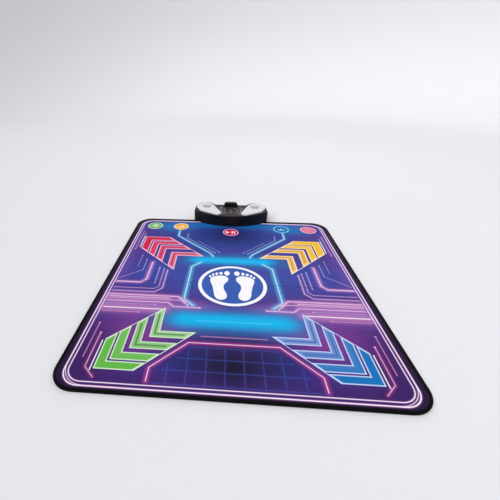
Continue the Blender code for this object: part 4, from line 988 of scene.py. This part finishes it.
class ZoneColours(bpy.types.PropertyGroup):
    """Inks of the four step zones."""

    __annotations__ = {
        name: colour_property(name, codes[0], "Full ink of the arrows") for name, codes in ZONE_INKS.items()
    }


def printed(context):
    """The printed cloth, made once from the colours that are set."""
    if "print" not in MADE:
        colours = context.scene.mat_colours
        MADE["print"] = print_material({name: tuple(getattr(colours, name)) for name in INKS})
    return MADE["print"]


# Pieces


class MAT_OT_layers(bpy.types.Operator):
    """The grip cloth underneath and the foam on it, each one sheet from end to end"""

    bl_idname = "mat.layers"
    bl_label = "Backing and foam"

    def execute(self, context):
        bar = rectangle(BAR_LOW.x - GAP, BAR_HIGH.x + GAP, BAR_LOW.y - GAP, BAR_HIGH.y + GAP)
        foam_low, foam_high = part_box("foam_base_rear")
        cloth = dotted_material(tuple(context.scene.mat_colours.backing))
        pieces = []
        for name, inset, low, high, material in (
            ("backing_cloth", BASE_INSET, 0.0, BASE_SHEET, cloth),
            ("foam_layer", LAYER_INSET, foam_low.z, foam_high.z, finish("foam")),
        ):
            shape = cut_rows(plate(mat_outline(inset), low, high, [bar]), grid=0)
            pieces.append(add_piece(name, shape, material))
            bend_at_crease(pieces[-1])
        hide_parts("anti_slip_base_rear", "anti_slip_base_front")
        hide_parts("foam_base_rear", "foam_base_front")
        return {"FINISHED"}


class MAT_OT_cover(bpy.types.Operator):
    """The printed cover, one cloth over both halves, open where the zones and keys are"""

    bl_idname = "mat.cover"
    bl_label = "Printed cover"

    def execute(self, context):
        loops = window_loops()
        inset = LAYER_INSET + GAP
        outline = mat_outline(inset)
        shape = lifted(cut_rows(plate(outline, MAT_TOP - COVER_SHEET, MAT_TOP, loops)), loops)
        cover = add_piece("printed_cover", shape, printed(context))
        bend_at_crease(cover)
        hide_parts("play_cover_rear", "play_cover_front")
        return {"FINISHED"}


class MAT_OT_binding(bpy.types.Operator):
    """The folded tape round the edge, and its seam"""

    bl_idname = "mat.binding"
    bl_label = "Edge tape and stitches"

    def execute(self, context):
        sizes = context.scene.mat_sizes
        top = MAT_TOP + sizes.tape_rise
        width = sizes.tape_width
        # The tape's section, as places in from the mat's edge and up from the floor
        section = [
            (width, MAT_TOP - 0.0001), (width - 0.0004, MAT_TOP + 0.0003), (width - 0.0014, top - 0.0001),
            (width - 0.0030, top - 0.0002), (width * 0.45, top), (0.0022, top - 0.0002),
            (0.0009, top - 0.0010), (0.0002, top - 0.0026), (0.0, MAT_TOP / 2), (0.0003, 0.0022),
            (0.0012, 0.0007), (0.0026, 0.0), (0.0100, 0.0), (0.0100, BASE_SHEET),
            (0.0012, BASE_SHEET + 0.0002), (0.0012, MAT_TOP - 0.0010), (width - 0.0010, MAT_TOP - 0.0009),
        ]
        shape = loft([ring_at(mat_outline(inset), level) for inset, level in section], around=True)
        tape = add_piece("edge_tape", shape, tape_material(tuple(context.scene.mat_colours.tape)), 50)
        bend_at_crease(tape)
        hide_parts("edge_binding_rear", "edge_binding_front")
        path = [Vector(point) for point in mat_outline(sizes.stitch_inset)]
        shape = self.stitches(path, top - 0.0002, sizes.stitch_pitch, sizes.stitch_length)
        seam = add_piece("tape_stitches", shape, finish("thread"), 80)
        bend_at_crease(seam)
        return {"FINISHED"}

    @staticmethod
    def stitches(path, level, pitch, length):
        """Short arched threads along a closed path, half sunk in the tape."""
        ends = path[1:] + path[:1]
        lengths = [(end - start).length for start, end in zip(path, ends)]
        count = round(sum(lengths) / pitch)
        shape = bmesh.new()
        index, travelled = 0, 0.0
        for number in range(count):
            start = number * (sum(lengths) / count)
            while travelled + lengths[index] < start:
                travelled += lengths[index]
                index += 1
            here = path[index].lerp(ends[index], (start - travelled) / lengths[index])
            heading = (ends[index] - path[index]).normalized()
            across = Vector((-heading.y, heading.x))
            rings = []
            for share in STITCH_RINGS:
                bulge = math.sin(math.pi * (0.12 + 0.76 * share))
                wide = THREAD_RADIUS * (0.45 + 0.55 * bulge)
                centre = here + heading * length * share
                height = level - THREAD_RADIUS + THREAD_RADIUS * bulge
                ring = circle((0, 0), wide, STITCH_SIDES, 0.8)
                rings.append([(*(centre + across * x), height + y) for x, y in ring])
            rows = skin(shape, rings)
            shape.faces.new(rows[0])
            shape.faces.new(rows[-1])
        bmesh.ops.recalc_face_normals(shape, faces=shape.faces)
        return shape


def add_patch(context, kind, name, outline_at, band):
    """A sprung piece of the cover's cloth. Its underside lies a little in from its window, its edge stays level
    with the cover, and a band inside the edge dips to its middle."""
    rings = [ring_at(outline_at(PATCH_SLACK), MAT_TOP - COVER_SHEET)]
    for share in (0.0, 0.2, 0.4, 0.6, 0.8, 1.0):
        rings.append(ring_at(outline_at(share * band), MAT_TOP - share * PATCH_DIP))
    patch = add_piece(f"{kind}_patch_{name}", loft(rings), printed(context), 60)
    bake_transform(patch)
    outline = outline_at(0)
    return patch


class MAT_OT_zones(bpy.types.Operator):
    """The four sprung patches of the cover, each with four bent arrows printed on it"""

    bl_idname = "mat.zones"
    bl_label = "Step zones"

    def execute(self, context):
        for name, (_, rear, _, run, corner) in ZONES.items():
            outline_at = lambda inset: zone_outline(name, ARROW_MARGIN - inset)
            patch = add_patch(context, "zone", name, outline_at, ZONE_BAND)
            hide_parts("step_zone_" + name)
            body = "zone_" + name
            fill = tuple(getattr(context.scene.zone_colours, name))
            pale, edge, heart = (linear(code) for code in ZONE_INKS[name][1:])
            edges = arrow_outlines(name, 0.0) + rail_outlines(name)
            full = arrow_outlines(name, ARROW_EDGE)
            hearts = arrow_outlines(name, ARROW_HEART, 2)
            for kind, outlines, rise, material in (
                ("arrow_edges_", edges, 1.0, ink_material(name + "_outline", edge)),
                ("arrows_", full, 1.6, ink_material(name, fill, pale, corner, run)),
                ("arrow_hearts_", hearts, 2.1, ink_material(name + "_heart", heart)),
            ):
                solids = inked([[outline] for outline in outlines], MAT_TOP - PATCH_DIP, rise * INK)
                add_fixed(kind + name, solids, material, body)
        return {"FINISHED"}


def key_sign(name):
    """The outlines of a touch key's sign, about its own centre: common signs in plain shapes."""
    if name == "green":
        return [[circle((0, 0), 0.0225), circle((0, 0), 0.0200)], [circle((0, 0), 0.0150)]]
    if name == "orange":
        steps = [(-0.0165 + 0.0115 * k, -0.004 + 0.0085 * k) for k in range(3)]
        return [[rectangle(left, left + 0.007, -0.013, high)] for left, high in steps]
    if name == "play":
        triangle = rounded([(-0.023, -0.012), (-0.003, 0.0), (-0.023, 0.012)], 0.0015, 3)
        return [[triangle]] + [[rectangle(left, left + 0.006, -0.012, 0.012)] for left in (0.0035, 0.0135)]
    if name == "blue":
        middle = (0, 0.006)
        waves = []
        for radius in (0.010, 0.020):
            waves.append([arc(middle, radius, 205, 335, 14) + arc(middle, radius - 0.0045, 335, 205, 14)])
        return waves + [[circle((0, 0.007), 0.0035, 24)]]
    rows = []
    for k in range(7):
        x = -0.0225 + 0.0075 * k
        rows.append([block(x, 0, 0.0015, math.sqrt(0.0275 ** 2 - x ** 2))])
    return rows


class MAT_OT_keys(bpy.types.Operator):
    """The five round touch keys along the back, each with a rim and a sign"""

    bl_idname = "mat.keys"
    bl_label = "Touch keys"

    def execute(self, context):
        for name, place in KEYS.items():
            outline_at = lambda inset: circle(place, KEY_RADIUS - inset)
            patch = add_patch(context, "key", name, outline_at, KEY_BAND)
            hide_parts("touch_key_" + name)
            body = "key_" + name
            fill, rim, sign = (linear(code) for code in KEY_INKS[name])
            for part, outlines, colour, rise in (
                ("disc", [[circle((0, 0), KEY_DISC)]], fill, 1.0),
                ("rim", [[circle((0, 0), KEY_RIM[1]), circle((0, 0), KEY_RIM[0])]], rim, 1.6),
                ("sign", key_sign(name), sign, 1.6),
            ):
                piece_name = f"key_{part}_{name}"
                solids = inked(outlines, MAT_TOP - PATCH_DIP, rise * INK, place)
                add_fixed(piece_name, solids, ink_material(piece_name, colour), body)
        return {"FINISHED"}


class MAT_OT_centre(bpy.types.Operator):
    """The ring and the two footprints in the middle, across the crease"""

    bl_idname = "mat.centre"
    bl_label = "Ring and footprints"

    def execute(self, context):
        loops = window_loops()
        ground = ink_material("ring_ground", tuple(context.scene.mat_colours.ring_blue))
        feet = []
        for side in (-1, 1):
            sole = [(side * x * MM, y * MM) for x, y in smooth_loop(SOLE)]
            feet.append([sole if side < 0 else sole[::-1]])
            for x, y, wide, long in TOES:
                feet.append([circle((side * x * MM, y * MM), wide * MM, 32, long / wide)])
        ring = [[circle(RING_CENTRE, RING_OUTER, 128), circle(RING_CENTRE, RING_INNER, 128)]]
        for name, outlines, rise, material in (
            ("ring_ground", [[circle(RING_CENTRE, RING_INNER + MM, 128)]], 0.6, ground),
            ("centre_ring", ring, 1.3, finish("white_ink")),
            ("footprints", feet, 1.3, finish("white_ink")),
        ):
            shape = lifted(cut_rows(gather(inked(outlines, MAT_TOP, rise * INK))), loops)
            piece = add_piece(name, shape, material, 60)
            bend_at_crease(piece)
        return {"FINISHED"}


class MAT_OT_console(bpy.types.Operator):
    """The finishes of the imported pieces, and the small prints on the console"""

    bl_idname = "mat.console"
    bl_label = "Console"

    def execute(self, context):
        for name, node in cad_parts.items():
            if node.hide_render:
                continue
            finish_name = next(made for start, made in NODE_FINISHES if name.startswith(start))
            node.data.materials.clear()
            node.data.materials.append(finish(finish_name))
        self.add_key_signs()
        self.add_panel_print()
        self.add_digits()
        self.add_door_ribs()
        self.add_rear_prints()
        self.add_sleeves()
        return {"FINISHED"}

    @staticmethod
    def add_key_signs():
        """Common signs on the six keys of the panel."""
        bar = [block(0, 0, 0.0035, 0.0006)]
        stem = [block(0, 0, 0.0006, 0.0030)]
        left = [(-0.0025, 0.0), (0.0020, -0.0026), (0.0020, 0.0026)]
        right = [(-x, y) for x, y in left][::-1]
        ring = [circle((0, 0), 0.0028, 24), circle((0, 0), 0.0019, 24)]
        square = [block(0, 0, 0.0022, 0.0022)]
        signs = ([[left]], [square], [[right]], [bar], [ring], [bar, stem])
        for number, outlines in enumerate(signs, start=1):
            low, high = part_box(f"console_key_{number}")
            solids = inked(outlines, high.z, INK, (low + high) / 2)
            add_fixed(f"key_sign_{number}", solids, finish("key_ink"), f"button_{number}")

    @staticmethod
    def add_panel_print():
        """Fine lines beside the keys and small marks at the back of the panel."""
        marks = []
        for side in (-1, 1):
            start, end = Vector((side * 0.0390, 0.4570)), Vector((side * 0.0555, 0.5380))
            beside = Vector((end.y - start.y, start.x - end.x)).normalized() * 0.0005
            marks.append([[start + beside, end + beside, end - beside, start - beside]])
            marks.append([circle((side * 0.0465, 0.5410), 0.0022, 24)])
        marks += [[block(x, y, 0.0030, 0.0012)] for x, y in ((-0.0330, 0.5290), (0.0200, 0.5320))]
        solids = inked(marks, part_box("control_panel")[1].z)
        add_fixed("panel_print", solids, finish("key_ink"), "rear_half")

    @staticmethod
    def add_digits():
        """Two digits of seven unlit bars on the display module."""
        low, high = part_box("display_module")
        middle = (low.z + high.z) / 2
        long, thin = 0.0019, 0.0005
        bars = [(0, step * 0.0046, long, thin) for step in (1, 0, -1)]
        bars += [(side * 0.0027, step * 0.0023, thin, long) for side in (-1, 1) for step in (-1, 1)]
        solids = []
        for digit in (-0.0075, 0.0075):
            for x, z, half_x, half_z in bars:
                solids.append(upright(block(digit + x, middle + z, half_x, half_z), low.y - INK, low.y))
        add_fixed("score_digits", solids, finish("key_ink"), "rear_half")

    @staticmethod
    def add_door_ribs():
        """Finger ribs on the battery door, shorter towards its lower edge."""
        first, pitch, half_length, taper, half_width = 0.0040, 0.0022, 0.0090, 0.0008, 0.0005
        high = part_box("battery_door")[1]
        solids = []
        for step in range(5):
            rib = block(0, high.z - first - pitch * step, half_length - taper * step, half_width)
            solids.append(upright(rounded(rib, 0.9 * half_width, 3), high.y - 0.0001, high.y + 0.0004))
        add_fixed("door_ribs", solids, finish("inner_black"), "door")

    @staticmethod
    def add_rear_prints():
        """A metal ring in the socket, and the marks for off and on above the switch."""
        low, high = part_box("audio_socket")
        place = ((low.x + high.x) / 2, (low.z + high.z) / 2)
        wall = high.y
        ring = upright(circle(place, 0.0032, 40), wall - 0.0002, wall + 0.0003, [circle(place, 0.0019, 40)])
        add_fixed("socket_ring", [ring], finish("steel"), "rear_half")
        low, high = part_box("power_switch_knob")
        x, level = (low.x + high.x) / 2, high.z + 0.0042
        off = (x - 0.0030, level)
        on = rectangle(x + 0.0028, x + 0.0033, level - 0.0014, level + 0.0014)
        marks = [
            upright(circle(off, 0.0014, 28), wall - INK, wall + INK, [circle(off, 0.0010, 28)]),
            upright(on, wall - INK, wall + INK),
        ]
        add_fixed("switch_marks", marks, finish("key_ink"), "rear_half")

    @staticmethod
    def add_sleeves():
        """The shrunk sleeve round each cell."""
        for number in range(1, 5):
            low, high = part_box(f"battery_{number}")
            middle = (low + high) / 2
            radius = (high.z - low.z) / 2
            start, end = low.x + SLEEVE_INSET, high.x - SLEEVE_INSET
            rings = []
            for x, rise in (
                (start, SLEEVE / 3), (start + 2 * SLEEVE, SLEEVE), (end - 2 * SLEEVE, SLEEVE),
                (end, SLEEVE / 3), (end, -SLEEVE), (start, -SLEEVE),
            ):
                rings.append([(x, middle.y + y, middle.z + z) for y, z in circle((0, 0), radius + rise, 48)])
            sleeve = loft(rings, around=True)
            add_fixed(f"cell_sleeve_{number}", [sleeve], finish("cell"), "rear_half")


class MAT_OT_stage(bpy.types.Operator):
    """The pale floor, the soft lights and the camera"""

    bl_idname = "mat.stage"
    bl_label = "Floor, lights and camera"

    def execute(self, context):
        scene = context.scene
        board = moulded("Painted_board_matt", "#e6e5e8", 0.85, 0.01, 0.00002, 0.02, Specular_IOR_Level=0.2)
        add_piece("floor", self.studio_bowl(), board)
        world = bpy.data.worlds.new("Studio")
        world.use_nodes = True
        plug(world.node_tree, world.node_tree.nodes["Background"], ((0.95, 0.97, 1.0), 0.50))
        scene.world = world
        for name, kind, place, size, power in (
            ("Key", "SUN", (-1.5, -1.5, 2.6), 0.9, 1.9),
            ("Fill", "AREA", (1.9, -1.2, 1.8), 2.0, 7),
            ("Rim", "AREA", (0.5, 2.2, 2.0), 1.6, 6),
        ):
            light = bpy.data.lights.new(name, kind)
            light.energy = power
            setattr(light, "angle" if kind == "SUN" else "size", size)
            lamp = bpy.data.objects.new(name, light)
            lamp.location = place
            lamp.rotation_euler = (-Vector(place)).to_track_quat("-Z", "Y").to_euler()
            scene.collection.objects.link(lamp)
        self.add_camera(scene)
        scene.view_settings.view_transform = "Standard"
        return {"FINISHED"}

    @staticmethod
    def studio_bowl():
        """A wide flat floor whose rim curves up all round, so that no edge or horizon shows."""
        profile = [(0.02, 0.0), (1.5, 0.0), (3.0, 0.0), (4.6, 0.0)]
        profile += [(4.6 + 1.6 * math.sin(a), 1.6 - 1.6 * math.cos(a)) for a in np.radians(range(10, 91, 10))]
        profile.append((6.2, 3.2))
        rings = [ring_at(circle((0, 0), radius, 96), level - 0.0002) for radius, level in profile]
        return loft(rings, capped=False)

    @staticmethod
    def add_camera(scene):
        """The photograph's viewing place: low in front, turned a little to the left."""
        yaw, pitch, roll = (math.radians(angle) for angle in (-4.648, 29.025, -0.211))
        data = bpy.data.cameras.new("Camera")
        data.lens = 23.18
        data.shift_x = 0.1064
        camera = bpy.data.objects.new("Camera", data)
        camera.location = (-0.0477, -0.9714, 0.6555)
        forward = Vector((math.sin(yaw) * math.cos(pitch), math.cos(yaw) * math.cos(pitch), -math.sin(pitch)))
        level = Vector((math.cos(yaw), -math.sin(yaw), 0))
        right = level * math.cos(roll) + level.cross(forward) * math.sin(roll)
        axes = Matrix((right, right.cross(forward), -forward)).transposed()
        camera.rotation_euler = axes.to_euler()
        scene.collection.objects.link(camera)
        scene.camera = camera


class MAT_PT_panel(bpy.types.Panel):
    """Lists the steps that build the dance mat"""

    bl_idname = "MAT_PT_panel"
    bl_label = "Dance mat"
    bl_space_type = "VIEW_3D"
    bl_region_type = "UI"
    bl_category = "Dance mat"

    def draw(self, context):
        column = self.layout.column()
        for step in STEPS:
            column.operator(step.bl_idname)
        for name, group in GROUPS.items():
            for setting in group.__annotations__:
                column.prop(getattr(context.scene, name), setting)


GROUPS = {"mat_sizes": MatSizes, "mat_colours": MatColours, "zone_colours": ZoneColours}
STEPS = (
    MAT_OT_layers, MAT_OT_cover, MAT_OT_binding, MAT_OT_zones, MAT_OT_keys, MAT_OT_centre, MAT_OT_console,
    MAT_OT_stage,
)


def register():
    for group in (*GROUPS.values(), *STEPS, MAT_PT_panel):
        bpy.utils.register_class(group)
    for name, group in GROUPS.items():
        setattr(bpy.types.Scene, name, PointerProperty(type=group))


def unregister():
    for name in GROUPS:
        delattr(bpy.types.Scene, name)
    for group in reversed((*GROUPS.values(), *STEPS, MAT_PT_panel)):
        bpy.utils.unregister_class(group)


def main():
    register()
    for step in STEPS:
        group, name = step.bl_idname.split(".")
        getattr(getattr(bpy.ops, group), name)()


if __name__ == "__main__":
    main()
